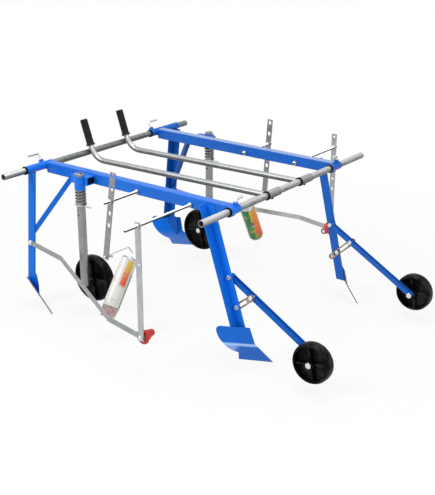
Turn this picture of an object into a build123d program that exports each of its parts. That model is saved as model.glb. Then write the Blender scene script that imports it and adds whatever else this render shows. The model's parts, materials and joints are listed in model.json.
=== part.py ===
"""Mulch film layer: a pulled frame that cuts two furrows, unrolls film and buries its edges.

Millimetres. X forward, Y to the left, Z up. The origin lies on the ground, under the middle of the frame.
"right" is the -Y side and "left" the +Y side.
"""
import os
from math import atan2, cos, degrees, hypot, pi, radians, sin, sqrt, tan

from build123d import *

# Frame
frame_length = 1000.0       # between the axes of the two cross tubes
tube_height = 613.0         # cross tube axis above the ground
rail_half_spread = 364.0    # rail axis to the middle of the frame
running_fit = 0.08          # radial play of a turning or sliding fit
face_gap = 0.3              # play between faces that pass each other

# Cross tubes
tube_od = 26.9
tube_wall = 2.6
front_tube_length = 1144.0
front_tube_shift = 5.0
rear_tube_length = 1182.0
rear_tube_shift = -23.0

# Side rails
rail_width = 40.0
rail_height = 46.0
rail_wall = 3.0
rail_corner = 4.0
rail_drop = 8.5             # rail axis under the tube axis
rail_end_gap = 13.0         # rail end to the tube axis

# Sleeves on the cross tubes, with their bushes and lock screws
sleeve_od = 34.0
front_sleeve_in = {"right": 20.0, "left": 58.0}      # rail axis to the sleeve's inner end
front_sleeve_out = {"right": 44.0, "left": 20.0}
rear_sleeve_in = {"right": 20.0, "left": 68.0}
rear_sleeve_out = {"right": 135.0, "left": 135.0}
bush_width = 5.0
bush_od = 36.0
lock_d = 10.0
lock_lean = {"front": 0.0, "rear": 30.0}       # lean of the screw to the rear
lock_reach = {"right_front": 36.0, "right_rear": 56.0, "left_front": 44.0, "left_rear": 56.0}  # axis to bend
lock_bend = 7.0
lock_handle = {"right_front": 52.0, "right_rear": 58.0, "left_front": 36.0, "left_rear": 58.0}
lock_tip_gap = 0.3
boss_width = 19.0
boss_height = 10.0
lock_stand = {"right_front": -4.0, "right_rear": 29.0, "left_front": 0.0, "left_rear": -42.0}  # from rail
lock_turn = {"right_front": 98.0, "right_rear": -90.0, "left_front": -90.0, "left_rear": 90.0}

# Angle-iron legs
flange = 40.0
flange_wall = 4.0
front_leg_set = {"right": 112.0, "left": 101.6}      # front tube's axis to the corner under the rail
front_leg_lean = {"right": 18.0, "left": 13.3}
front_leg_rise = 5.0        # top above the tube's axis
front_leg_bottom = 87.0
rear_leg_lean = 5.85
rear_leg_stand = 116.0      # rail axis to the outer flange
rear_leg_drop = 10.0        # top under the tube's axis
brace_size = 20.0
brace_wall = 2.5
brace_set = 178.0           # rear tube's axis to the brace on the rail
brace_leg_z = 321.0
gusset_rise = 31.0          # top of the leg's front gusset above the rear plough's corner
gusset_top = 52.0           # leg corner to the gusset's upper front corner
gusset_reach = 63.0         # leg corner to the gusset's front edge
gusset_shoulder = 16.0      # start of the gusset's front edge under the rear plough's corner

# Ploughs
plate = 4.0
rear_plate = 6.0
front_plough_top = {"right": 153.0, "left": 142.0}
front_plough_dip = 7.0      # slope of the plate's edges down to the nose
front_tip_rise = {"right": 22.0, "left": 17.0}       # share's tip above the rear ploughs' tips
mouldboard_height = 62.0
mouldboard_wing = 83.0
mouldboard_nose = 47.0
mouldboard_corner = 15.0
mouldboard_wing_foot = 54.0  # wing's end on the fold
mouldboard_wing_bulge = 75.0
mouldboard_bulge_depth = 36.0
share_angle = {"right": 8.0, "left": 19.0}           # fold between mouldboard and share
fold_radius = {"right": 60.0, "left": 26.0}          # front face's radius in the fold
share_shoulder = 73.0       # end of the fold on the nose side
share_notch = 12.0
share_notch_depth = 35.0
share_heel = 15.0
share_heel_depth = 61.0
share_curve = 28.0          # middle of the curve between wing and notch
share_curve_depth = 22.0
share_tip = 150.0
rear_plough_heading = 61.6
rear_plough_tilt = 27.0
rear_plough_corner = 109.5  # plate meets the outer leg corner at this height
rear_plough_wing = {"right": 4.0, "left": 87.0}
rear_plough_round = {"right": 2.0, "left": 17.0}    # wing's upper corner
rear_plough_nose = 63.0
rear_plough_top = {"right": 4.0, "left": 19.0}
rear_plough_shoulder = 80.0
rear_plough_shoulder_depth = 50.0
rear_plough_notch = 12.0
rear_plough_notch_depth = 92.0
rear_plough_curve = {"right": -4.0, "left": 59.0}    # middle of the wing's lower curve
rear_plough_curve_depth = 51.0
rear_plough_heel = 32.0
rear_plough_tip = 187.0

# Threaded rods through the rails
rod_d = 12.0
rod_chamfer = 1.5
rod_drop = 16.0             # rod axis under the tube's axis
rod_tail = 14.0             # rod end inside the rail's inner face
strap_rod_set = 468.0       # front tube's axis to the strap rod
hanger_rod_set = 195.0      # front tube's axis to the hanger rod
strap_rod_reach = {"right": 209.0, "left": 192.0}    # rail axis to the rod's outer end
hanger_rod_reach = {"right": 393.0, "left": 328.0}
nut_width = 19.0
nut_height = 9.0

# Roller straps, wire axles and press rollers
strap_width = 27.0
strap_wall = 4.0
strap_stand = {"right": 174.0, "left": 168.0}        # rail axis to the strap
strap_lean = {"right": 9.1, "left": 4.0}
strap_hole_pitch = 52.0
strap_holes_up = 2
strap_holes_down = 2
strap_slot_width = 15.5
strap_slot_height = 20.0
strap_above = 119.0
strap_below = 242.0         # rod to the axle clamp
strap_tail = 12.0
axle_wire = 4.5
axle_bend = 11.0
axle_level = {"right": 131.0, "left": 137.0}   # strap to the first bend
axle_fall_in = {"right": 23.0, "left": 20.0}
axle_fall_down = {"right": 29.5, "left": 6.0}
wire_nut_width = 11.0
wire_nut_height = 6.0
roller_tilt = {"right": 54.6, "left": 64.1}
roller_stand = 21.0         # bend to the roller's neck
roller_d = 70.0
roller_length = {"right": 264.0, "left": 200.0}
roller_neck_d = 24.0
roller_neck = 5.0
roller_shoulder = 7.0       # height of the cone between lid and body
roller_lid_set = 5.0        # lid's edge inside the body
roller_wall = 1.2
roller_foot = {"right": 40.0, "left": 13.0}          # height of the tapered foot
roller_foot_set = 6.0       # foot's rim inside the body
roller_rim = 2.0
roller_dish = 9.0           # depth of the hollow in the foot

# Film hangers, film arms and cone plugs
hanger_width = 26.0
bar_end_round = 2.0
hanger_wall = 4.0
hanger_stand = {"right": 323.0, "left": 306.0}       # rail axis to the hanger
hanger_drop = 446.0         # hole on the rod to the hole on the cone bolt
hanger_hole_pitch = 50.0
hanger_holes = {"right": (0, 3), "left": (0, 1, 2, 3, 4, 5)}   # counted in pitches from the top
hanger_rod_hole = {"right": 0, "left": 1}
hanger_margin = 14.0
film_arm_width = 22.0
film_arm_wall = 4.0
film_arm_drop = 330.0       # tube's axis to the bolt on the rear leg
film_arm_rear_run = 185.0
film_arm_front_run = 173.0
film_arm_bend = 25.0
cone_base_d = 60.0
cone_tip_d = 27.0
cone_length = 58.0
cone_lip = 8.0
cone_recess_d = 22.0        # hollow in the tip for the bolt's nut
cone_recess = 9.0
bolt_d = 10.0
bolt_head = 17.0
bolt_head_height = 7.0

# Spring struts and rear press wheels
strut_set = 258.0           # rear tube's axis to the strut
strut_stand = 48.0          # rail's outer face to the strut's axis
strut_od = 36.0
strut_wall = 3.0
strut_bottom = 137.0
strut_sleeve_od = 46.0
strut_sleeve_rise = 9.0     # top above the tube's axis
strut_sleeve_length = 57.0
stub_width = 46.0
stub_height = 34.0
stub_wall = 3.0
stub_drop = 10.0            # stub's axis under the tube's axis
stub_back = 53.0            # strut's axis to the stub's rear end
stub_fore = 40.0
stop_bolt_d = 6.0
stop_bolt_head = 11.0
strut_top_margin = 5.0
spring_pin_d = 6.0
spring_pin_front = 57.0
spring_pin_rear = 26.0
spring_seat_wall = 3.0
spring_wire = 4.6
spring_mean_d = 42.6
spring_pitch = 13.4
spring_turns = 4.25
adjust_hole_d = 8.0
adjust_hole_drop = 156.0
rear_wheel_z = {"right": 152.0, "left": 160.0}
rear_wheel_d = 204.0
rear_wheel_width = 44.0
axle_spacer = 15.7          # between the strut and the wheel's hub
rivet_d = 14.0              # axle's outer end
rivet_height = 4.0

# Front gauge wheels, their arms and slotted links
arm_size = 20.0
arm_wall = 2.5
arm_pivot_z = 343.0
gauge_line = {"right": 23.0, "left": 31.0}           # leg corner to its bolt holes
front_wheel_lead = 387.5    # front tube's axis to the wheel
front_wheel_z = 115.0
front_wheel_d = 159.0
front_wheel_width = 48.0
link_wall = 5.0
link_width = 26.0
link_arm_reach = 119.0      # arm pivot to the link's bolt
link_leg_z = {"right": 228.0, "left": 216.0}
link_slot_start = 28.0
link_slot_end = {"right": 112.0, "left": 122.0}
link_eye = {"right": 130.0, "left": 140.0}
link_eye_d = 10.0
slot_play = 1.0             # the link's slot around its clamp bolt, per side

# Wheels
axle_d = 12.0
wheel_rim = 15.0
wheel_web = 10.0
wheel_hub_d = 42.0
wheel_hub_proud = 2.0
wheel_shoulder = 11.0
wheel_rib = 6.0
wheel_rib_set = 5.0         # ribs stay this far under the rim's edge
wheel_ribs = 4
wheel_rib_turn = 10.0
axle_head_d = 22.0
axle_head_height = 9.0

# Handles
handle_half_spread = 116.0
handle_od = 25.0
handle_wall = 2.0
handle_drop = 13.0          # handle axis under the front tube's axis
handle_fall = 0.9           # slope of the handle to the rear
handle_bend = 82.0
handle_rake = 71.0          # rise of the grip from level
handle_neck = 4.0           # bend to grip
hinge_sleeve_length = 80.0
grip_length = 120.0
grip_d = 33.0
grip_collar_d = 41.0
grip_collar = 5.0
grip_cap = 5.0

# Places that follow from the sizes
front_x = frame_length / 2
rear_x = -frame_length / 2
rail_z = tube_height - rail_drop
rod_z = tube_height - rod_drop
film_arm_z = tube_height - film_arm_drop
strap_rod_x = front_x - strap_rod_set
hanger_rod_x = front_x - hanger_rod_set
front_wheel_x = front_x + front_wheel_lead
strut_x = rear_x + strut_set
strut_sleeve_top = tube_height + strut_sleeve_rise
strut_sleeve_bottom = strut_sleeve_top - strut_sleeve_length
rail_outer = rail_half_spread + rail_width / 2
rail_inner = rail_half_spread - rail_width / 2
rail_bottom = rail_z - rail_height / 2
spring_rise = spring_pitch * spring_turns
spring_end_fall = spring_wire * spring_pitch / hypot(spring_pitch, pi * spring_mean_d)
spring_top = strut_sleeve_bottom - face_gap - spring_wire / 2 - spring_end_fall
spring_bottom = spring_top - spring_rise
spring_seat_z = spring_bottom - spring_end_fall - spring_wire / 2 - face_gap
spring_pin_z = spring_seat_z - spring_seat_wall - spring_pin_d / 2
stop_bolt_z = strut_sleeve_top + stop_bolt_head / 2 + face_gap
strut_top = stop_bolt_z + strut_top_margin
rear_leg_half_spread = rail_half_spread + rear_leg_stand
strut_half_spread = rail_outer + strut_stand
hub_half_width = rear_wheel_width / 2 + wheel_hub_proud + face_gap
rear_wheel_half_spread = strut_half_spread - strut_od / 2 - axle_spacer - hub_half_width
arm_outer = rail_outer - link_wall - 2 * face_gap
arm_mid = arm_outer - arm_size / 2
front_wheel_half_spread = arm_outer + wheel_hub_proud + face_gap + front_wheel_width / 2
across = (90, 0, 0)
sides = {"right": -1, "left": 1}
strap_y = {side: rail_half_spread + strap_stand[side] for side in sides}
hanger_y = {side: rail_half_spread + hanger_stand[side] for side in sides}
os.makedirs("parts", exist_ok=True)


def save(part, label):
    part.label = label
    export_step(part, f"parts/{label}.step")


def facing_side(x, y, z):
    """Sketch plane in X and Z."""
    return Plane(origin=(x, y, z), x_dir=(1, 0, 0), z_dir=(0, -1, 0))


def front_corner_x(side, z):
    """X of a front leg's inner corner at a height."""
    return front_x - front_leg_set[side] + (rail_bottom - z) * tan(radians(front_leg_lean[side]))


def rear_corner_x(z):
    """X of a rear leg's outer corner at a height."""
    return rear_x - (tube_height - sleeve_od / 2 - z) * tan(radians(rear_leg_lean))


def gauge_x(side, z):
    """X of a bolt in a front leg at a height."""
    return front_corner_x(side, z) + gauge_line[side] / cos(radians(front_leg_lean[side]))


def arm_frame(side):
    """Pivot, direction and length of a wheel arm, in X and Z."""
    pivot = Vector(gauge_x(side, arm_pivot_z), 0, arm_pivot_z)
    reach = Vector(front_wheel_x, 0, front_wheel_z) - pivot
    return pivot, reach.normalized(), reach.length


def lock_plane(side, end):
    """Plane on a lock screw's axis, seen along it, from the tube's axis."""
    lean = radians(lock_lean[end])
    x = front_x if end == "front" else rear_x
    y = sides[side] * (rail_half_spread + lock_stand[f"{side}_{end}"])
    axis = (-sin(lean), 0, cos(lean))
    return Plane(origin=(x, y, tube_height), x_dir=(cos(lean), 0, sin(lean)), z_dir=axis)


def cross_tube(label, x, shift, length):
    with BuildPart() as tube:
        with Locations((x, shift, tube_height)):
            Cylinder(tube_od / 2, length, rotation=across)
            Cylinder(tube_od / 2 - tube_wall, length, rotation=across, mode=Mode.SUBTRACT)
    save(tube.part, label)


def side_rail(side, out):
    y = out * rail_half_spread
    with BuildPart() as rail:
        with Locations((0, y, rail_z)):
            Box(frame_length - 2 * rail_end_gap, rail_width, rail_height)
        fillet(rail.edges().filter_by(Axis.X), rail_corner)
        with Locations((0, y, rail_z)):
            Box(frame_length, rail_width - 2 * rail_wall, rail_height - 2 * rail_wall, mode=Mode.SUBTRACT)
        with Locations((front_x, y, tube_height), (rear_x, y, tube_height)):
            Cylinder(sleeve_od / 2, 2 * rail_width, rotation=across, mode=Mode.SUBTRACT)
        for end in ("front", "rear"):
            with BuildSketch(lock_plane(side, end)):
                RegularPolygon(boss_width / 2, 6, major_radius=False)
            extrude(amount=sleeve_od / 2 + boss_height, mode=Mode.SUBTRACT)
        with Locations((strap_rod_x, y, rod_z), (hanger_rod_x, y, rod_z)):
            Cylinder(rod_d / 2, 2 * rail_width, rotation=across, mode=Mode.SUBTRACT)
    save(rail.part, f"{side}_rail")


def side_sleeves(side, out):
    """Sleeves that slide on the cross tubes, each with a bush in its right end."""
    spots = []
    for end, x, inner, outer in (("front", front_x, front_sleeve_in[side], front_sleeve_out[side]),
                                 ("rear", rear_x, rear_sleeve_in[side], rear_sleeve_out[side])):
        reach = (out * (rail_half_spread - inner), out * (rail_half_spread + outer))
        spots.append((end, x, min(reach), max(reach)))
    with BuildPart() as sleeves:
        for end, x, right_end, left_end in spots:
            middle = (x, (right_end + bush_width + left_end) / 2, tube_height)
            length = left_end - right_end - bush_width
            with Locations(middle):
                Cylinder(sleeve_od / 2, length, rotation=across)
            with BuildSketch(lock_plane(side, end)):
                RegularPolygon(boss_width / 2, 6, major_radius=False)
            extrude(amount=sleeve_od / 2 + boss_height)
            with Locations(middle):
                Cylinder(tube_od / 2 + running_fit, length, rotation=across, mode=Mode.SUBTRACT)
            with BuildSketch(lock_plane(side, end)):
                Circle(lock_d / 2 + running_fit)
            extrude(amount=2 * sleeve_od, mode=Mode.SUBTRACT)
    save(sleeves.part, f"{side}_sleeves")

    with BuildPart() as bushes:
        for end, x, right_end, left_end in spots:
            with Locations((x, right_end + bush_width / 2, tube_height)):
                Cylinder(bush_od / 2, bush_width, rotation=across)
                Cylinder(tube_od / 2 + running_fit, bush_width, rotation=across, mode=Mode.SUBTRACT)
    save(bushes.part, f"{side}_sleeve_bushes")


def lock_screw(side, end):
    plane = lock_plane(side, end)
    turn = radians(lock_turn[f"{side}_{end}"])
    handle = plane.x_dir * cos(turn) + plane.y_dir * sin(turn)
    tip = plane.origin + plane.z_dir * (tube_od / 2 + lock_tip_gap)
    bend = plane.origin + plane.z_dir * lock_reach[f"{side}_{end}"]
    end_point = bend + handle * lock_handle[f"{side}_{end}"]
    with BuildPart() as screw:
        with BuildLine():
            FilletPolyline(tip, bend, end_point, radius=lock_bend)
        with BuildSketch(Plane(origin=tip, z_dir=plane.z_dir)):
            Circle(lock_d / 2)
        sweep()
    save(screw.part, f"{side}_{end}_lock")


def front_leg(side, out):
    lean = radians(front_leg_lean[side])
    front_leg_top = tube_height + front_leg_rise
    top = front_leg_top + flange
    foot = Plane(origin=(front_corner_x(side, top), out * rail_outer, top),
                 x_dir=(cos(lean), 0, sin(lean)), z_dir=(sin(lean), 0, -cos(lean)))
    side_y = -out
    with BuildPart() as leg:
        with BuildSketch(foot):
            with BuildLine():
                Polyline((0, 0), (flange, 0), (flange, side_y * flange_wall),
                         (flange_wall, side_y * flange_wall), (flange_wall, side_y * flange),
                         (0, side_y * flange), close=True)
            make_face()
        extrude(amount=tube_height / cos(lean))
        split(bisect_by=Plane.XY.offset(front_leg_top), keep=Keep.BOTTOM)
        split(bisect_by=Plane.XY.offset(front_leg_bottom), keep=Keep.TOP)
        levels = (arm_pivot_z, link_leg_z[side])
        with Locations(*((gauge_x(side, z), out * rail_outer, z) for z in levels)):
            Cylinder(bolt_d / 2, 4 * flange_wall, rotation=across, mode=Mode.SUBTRACT)
    save(leg.part, f"{side}_front_leg")


def front_plough(side, out):
    """Mouldboard across the leg's two flange tips, with a share folded forward."""
    lean = radians(front_leg_lean[side])
    dip = radians(front_plough_dip)
    top = front_plough_top[side]
    forward = Vector(cos(lean), 0, sin(lean))
    outward = Vector(0, out, 0)
    corner = Vector(front_corner_x(side, top), out * rail_outer, top)
    wing_tip = corner + forward * flange_wall + outward * flange
    nose_tip = corner + forward * flange + outward * flange_wall
    face = ((nose_tip - wing_tip).cross(Vector(sin(lean), 0, -cos(lean))) * out).normalized()
    level = (face.cross(Vector(0, 0, out))).normalized()
    fall = face.cross(level) * out
    along = level * cos(dip) + fall * sin(dip)
    down = fall * cos(dip) - level * sin(dip)
    board = Plane(origin=(wing_tip + nose_tip) * 0.5, x_dir=along, z_dir=face)
    fold = radians(share_angle[side])
    bend = fold_radius[side]
    share_down = down * cos(fold) + face * sin(fold)
    share = Plane(origin=board.origin + down * mouldboard_height, x_dir=along,
                  z_dir=face * cos(fold) - down * sin(fold))
    front_fold = share.origin + (face + share.z_dir) * (plate / (1 + cos(fold)))
    turn = out                                  # the sketch's y runs up on the right and down on the left
    tip_fall = share.origin.Z + along.Z * share_tip - front_tip_rise[side]
    tip_depth = tip_fall / -share_down.Z
    with BuildPart() as plough:
        with BuildSketch(board):
            with BuildLine():
                Line((-mouldboard_wing + mouldboard_corner, 0), (mouldboard_nose, 0))
                Line((mouldboard_nose, 0), (share_shoulder, turn * mouldboard_height))
                Line((share_shoulder, turn * mouldboard_height),
                     (-mouldboard_wing_foot, turn * mouldboard_height))
                ThreePointArc((-mouldboard_wing_foot, turn * mouldboard_height),
                              (-mouldboard_wing_bulge, turn * mouldboard_bulge_depth),
                              (-mouldboard_wing, turn * mouldboard_corner))
                RadiusArc((-mouldboard_wing, turn * mouldboard_corner),
                          (-mouldboard_wing + mouldboard_corner, 0), -turn * mouldboard_corner)
            make_face()
        extrude(amount=plate)
        with BuildSketch(share):
            with BuildLine():
                Polyline((-mouldboard_wing_foot, 0), (share_shoulder, 0), (share_tip, turn * tip_depth),
                         (share_heel, turn * share_heel_depth), (share_notch, turn * share_notch_depth))
                ThreePointArc((share_notch, turn * share_notch_depth),
                              (-share_curve, turn * share_curve_depth), (-mouldboard_wing_foot, 0))
            make_face()
        extrude(amount=plate)
        for spot, radius in ((front_fold, bend), (share.origin, bend + plate)):
            folds = plough.edges().filter_by(Axis(tuple(spot), tuple(along)))
            fillet(folds.sort_by_distance(tuple(spot))[0], radius)
    save(plough.part, f"{side}_front_plough")


def rear_plough_plane(out):
    """Face of a rear plough's plate, where it meets the leg's outer corner."""
    heading = radians(rear_plough_heading)
    tilt = radians(rear_plough_tilt)
    face = Vector(cos(tilt) * cos(heading), -out * cos(tilt) * sin(heading), sin(tilt))
    along = Vector(sin(heading), out * cos(heading), 0)
    origin = (rear_corner_x(rear_plough_corner), out * rear_leg_half_spread, rear_plough_corner)
    return Plane(origin=origin, x_dir=along, z_dir=face)


def rear_leg(side, out):
    """Angle iron whose outer flange runs down to the plough and whose rear flange ends above it."""
    lean = radians(rear_leg_lean)
    rear_leg_top = tube_height - rear_leg_drop
    top = rear_leg_top + flange
    foot = Plane(origin=(rear_corner_x(top), out * rear_leg_half_spread, top),
                 x_dir=(cos(lean), 0, -sin(lean)), z_dir=(-sin(lean), 0, -cos(lean)))
    gusset_y = out * (rear_leg_half_spread - flange_wall / 2)
    gusset_face = facing_side(rear_corner_x(rear_plough_corner), gusset_y, rear_plough_corner)
    with BuildPart() as leg:
        with BuildSketch(gusset_face):
            with BuildLine():
                Polyline((flange / 2, gusset_rise), (gusset_top, gusset_rise), (gusset_reach, -gusset_shoulder),
                         (gusset_reach, -rear_plough_corner), (flange / 2, -rear_plough_corner), close=True)
            make_face()
        extrude(amount=flange_wall / 2, both=True)
        with BuildSketch(foot):
            with Locations((flange_wall / 2, out * flange / 2)):
                Rectangle(flange_wall, flange)
        extrude(amount=(top - rear_plough_corner - rear_plough_top[side]) / cos(lean))
        with BuildSketch(foot):
            with Locations((flange / 2, out * flange_wall / 2)):
                Rectangle(flange, flange_wall)
        extrude(amount=tube_height + flange)
        split(bisect_by=Plane.XY.offset(rear_leg_top), keep=Keep.BOTTOM)
        split(bisect_by=rear_plough_plane(out), keep=Keep.TOP)
        with Locations((rear_x, out * rear_leg_half_spread, tube_height)):
            Cylinder(sleeve_od / 2, 4 * flange, rotation=across, mode=Mode.SUBTRACT)
        with Locations((film_bolt_x(), out * rear_leg_half_spread, film_arm_z)):
            Cylinder(bolt_d / 2, 4 * flange_wall, rotation=across, mode=Mode.SUBTRACT)
    save(leg.part, f"{side}_rear_leg")


def rear_plough(side, out):
    """One flat plate, its wing to the rear and inward and its tip forward and outward."""
    plane = rear_plough_plane(out)
    wing = rear_plough_wing[side]
    turn = -out                                 # the sketch's y runs down on the right and up on the left
    back_fall = rear_plate * sin(radians(rear_plough_tilt))
    head = -turn * rear_plough_top[side]
    tip_depth = (rear_plough_corner - back_fall) / cos(radians(rear_plough_tilt))
    with BuildPart() as plough:
        with BuildSketch(plane):
            with BuildLine():
                Polyline((-wing, 0), (-wing, head), (rear_plough_nose, head),
                         (rear_plough_shoulder, turn * rear_plough_shoulder_depth),
                         (rear_plough_tip, turn * tip_depth), (rear_plough_heel, turn * tip_depth),
                         (rear_plough_notch, turn * rear_plough_notch_depth))
                ThreePointArc((rear_plough_notch, turn * rear_plough_notch_depth),
                              (-rear_plough_curve[side], turn * rear_plough_curve_depth),
                              (-wing, 0))
            blade = make_face()
            corner = blade.vertices().sort_by_distance((-wing, head))[0]
            fillet(corner, rear_plough_round[side])
        extrude(amount=-rear_plate)
    save(plough.part, f"{side}_rear_plough")


def rear_flange_face(out):
    """Front face of a rear leg's rear flange."""
    lean = radians(rear_leg_lean)
    forward = Vector(cos(lean), 0, -sin(lean))
    corner = Vector(rear_corner_x(brace_leg_z), out * rear_leg_half_spread, brace_leg_z)
    return Plane(origin=corner + forward * flange_wall, z_dir=forward)


def rear_brace(side, out):
    """Square tube from the rail's outer face down to the front flange of the rear leg."""
    rail_end = Vector(rear_x + brace_set, out * rail_outer, rail_z)
    leg_x = rear_corner_x(brace_leg_z) + flange / 2
    leg_end = Vector(leg_x, out * (rear_leg_half_spread - flange_wall), brace_leg_z)
    run = (rail_end - leg_end).normalized()
    section = Plane(origin=leg_end - run * 2 * brace_size, x_dir=(0, 0, 1), z_dir=run)
    length = (rail_end - leg_end).length + 4 * brace_size
    with BuildPart() as brace:
        with BuildSketch(section):
            Rectangle(brace_size, brace_size)
            Rectangle(brace_size - 2 * brace_wall, brace_size - 2 * brace_wall, mode=Mode.SUBTRACT)
        extrude(amount=length)
        with Locations((0, out * (rail_outer - frame_length / 2), 0)):
            Box(2 * frame_length, frame_length, 2 * frame_length, mode=Mode.SUBTRACT)
        with Locations((0, out * (leg_end.Y * out + frame_length / 2), 0)):
            Box(2 * frame_length, frame_length, 2 * frame_length, mode=Mode.SUBTRACT)
        split(bisect_by=rear_flange_face(out), keep=Keep.TOP)
        split(bisect_by=Plane.XY.offset(rail_z), keep=Keep.BOTTOM)
    save(brace.part, f"{side}_rear_brace")


def strut_bracket(side, out):
    """Stub of box tube on the rail's outer face, carrying the strut's sleeve."""
    y = out * strut_half_spread
    stub_y = out * (rail_outer + stub_width / 2)
    length = stub_fore + stub_back
    with BuildPart() as bracket:
        with Locations((strut_x + (stub_fore - stub_back) / 2, stub_y, tube_height - stub_drop)):
            Box(length, stub_width, stub_height)
            Box(length, stub_width - 2 * stub_wall, stub_height - 2 * stub_wall, mode=Mode.SUBTRACT)
        with Locations((strut_x, y, (strut_sleeve_bottom + strut_sleeve_top) / 2)):
            Cylinder(strut_sleeve_od / 2, strut_sleeve_length)
            Cylinder(strut_od / 2 + running_fit, strut_sleeve_length, mode=Mode.SUBTRACT)
    save(bracket.part, f"{side}_strut_bracket")


def film_bolt_x():
    """X of the film arm's bolt in the rear leg."""
    return rear_corner_x(film_arm_z) + flange / 2


def cone_bolt_z(side):
    return rod_z - hanger_drop + hanger_hole_pitch * hanger_rod_hole[side]


def rods(side, out):
    with BuildPart() as pair:
        for x, reach in ((strap_rod_x, strap_rod_reach[side]), (hanger_rod_x, hanger_rod_reach[side])):
            length = reach + rail_width / 2 + rod_tail
            with Locations((x, out * (rail_half_spread + reach - length / 2), rod_z)):
                Cylinder(rod_d / 2, length, rotation=across)
        chamfer(pair.edges().filter_by(GeomType.CIRCLE), rod_chamfer)
    save(pair.part, f"{side}_rods")


def hanger(side, out):
    """Flat bar hung on its rod, with the cone bolt at its foot."""
    top_hole = rod_z + hanger_hole_pitch * hanger_rod_hole[side]
    top = top_hole + hanger_margin
    bottom = cone_bolt_z(side) - hanger_margin
    y = out * hanger_y[side]
    with BuildPart() as bar:
        with BuildSketch(facing_side(hanger_rod_x, y, (top + bottom) / 2)):
            RectangleRounded(hanger_width, top - bottom, bar_end_round)
        extrude(amount=hanger_wall / 2, both=True)
        levels = (top_hole - hanger_hole_pitch * step for step in hanger_holes[side])
        with Locations(*((hanger_rod_x, y, level) for level in levels)):
            Cylinder(rod_d / 2, 2 * hanger_wall, rotation=across, mode=Mode.SUBTRACT)
        with Locations((hanger_rod_x, y, cone_bolt_z(side))):
            Cylinder(bolt_d / 2, 2 * hanger_wall, rotation=across, mode=Mode.SUBTRACT)
    save(bar.part, f"{side}_hanger")


def film_arm(side, out):
    """Flat bar on edge from the rear leg to the hanger's foot, jogged outward."""
    rear_y = rear_leg_half_spread + film_arm_wall / 2
    front_y = hanger_y[side] - hanger_wall / 2 - film_arm_wall / 2
    start = Vector(film_bolt_x(), out * rear_y, film_arm_z)
    run = Vector(hanger_rod_x, out * rear_y, cone_bolt_z(side)) - start
    lie = Plane(origin=start, x_dir=run, z_dir=Vector(-run.Z, 0, run.X))
    jog = out * (front_y - rear_y)
    end = hanger_margin
    with BuildPart() as arm:
        with BuildSketch(lie):
            with BuildLine():
                FilletPolyline((-end, 0), (film_arm_rear_run, 0), (run.length - film_arm_front_run, jog),
                               (run.length + end, jog), radius=film_arm_bend)
            trace(line_width=film_arm_wall)
        extrude(amount=film_arm_width / 2, both=True)
        with Locations(tuple(start), (hanger_rod_x, out * front_y, cone_bolt_z(side))):
            Cylinder(bolt_d / 2, 4 * film_arm_wall, rotation=across, mode=Mode.SUBTRACT)
    save(arm.part, f"{side}_film_arm")


def cone_base(side):
    """Distance of a cone's base from the middle of the frame."""
    return hanger_y[side] - hanger_wall / 2 - film_arm_wall - face_gap


def cone_plug(side, out):
    base = cone_base(side)
    centre = (hanger_rod_x, out * base, cone_bolt_z(side))
    profile = Plane(origin=centre, x_dir=(1, 0, 0), z_dir=(0, 0, -out))
    bore = bolt_d / 2 + running_fit
    with BuildPart() as cone:
        with BuildSketch(profile):
            with BuildLine():
                Polyline((bore, 0), (cone_base_d / 2, 0), (cone_base_d / 2, cone_lip),
                         (cone_tip_d / 2, cone_length), (cone_recess_d / 2, cone_length),
                         (cone_recess_d / 2, cone_length - cone_recess), (bore, cone_length - cone_recess),
                         close=True)
            make_face()
        revolve(axis=Axis(centre, (0, 1, 0)))
    save(cone.part, f"{side}_cone")


def fasteners(side, out):
    """Nuts on the rods and bolts through the legs, the film arm and the cone."""
    strap = strap_y[side]
    hang = hanger_y[side]
    gap = strap_wall / 2 + face_gap
    nuts = [(strap_rod_x, rail_inner - nut_height), (strap_rod_x, rail_outer),
            (hanger_rod_x, rail_inner - nut_height), (hanger_rod_x, rail_outer),
            (strap_rod_x, strap - gap - nut_height), (strap_rod_x, strap + gap),
            (hanger_rod_x, hang - hanger_wall / 2 - nut_height), (hanger_rod_x, hang + hanger_wall / 2)]
    arm_inner = arm_outer - arm_size - face_gap
    cone_tip = cone_base(side) - cone_length + cone_recess - face_gap
    film_outer = rear_leg_half_spread + film_arm_wall
    pivot_x = gauge_x(side, arm_pivot_z)
    clamp_z = link_leg_z[side]
    bolts = [(pivot_x, arm_pivot_z, arm_inner, rail_outer + flange_wall),
             (gauge_x(side, clamp_z), clamp_z, arm_outer, rail_outer + flange_wall),
             (film_bolt_x(), film_arm_z, rear_leg_half_spread - flange_wall, film_outer),
             (hanger_rod_x, cone_bolt_z(side), cone_tip, hang + hanger_wall / 2)]
    spacers = [(pivot_x, arm_pivot_z, rail_outer - link_wall - face_gap, rail_outer)]
    with BuildPart() as hardware:
        for x, inner in nuts:
            with BuildSketch(facing_side(x, out * (inner + nut_height / 2), rod_z)):
                RegularPolygon(nut_width / 2, 6, major_radius=False)
                Circle(rod_d / 2, mode=Mode.SUBTRACT)
            extrude(amount=nut_height / 2, both=True)
        for x, z, inner, outer in bolts:
            for face, way in ((inner, -1), (outer, 1)):
                with BuildSketch(facing_side(x, out * (face + way * bolt_head_height / 2), z)):
                    RegularPolygon(bolt_head / 2, 6, major_radius=False)
                extrude(amount=bolt_head_height / 2, both=True)
            with Locations((x, out * (inner + outer) / 2, z)):
                Cylinder(bolt_d / 2, outer - inner, rotation=across)
        for x, z, inner, outer in spacers:
            with Locations((x, out * (inner + outer) / 2, z)):
                Cylinder(bolt_head / 2, outer - inner, rotation=across)
    save(hardware.part, f"{side}_fasteners")


def strap_frame(side):
    """Unit vector down a roller strap, in X and Z."""
    lean = radians(strap_lean[side])
    return Vector(-sin(lean), 0, -cos(lean))


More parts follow.
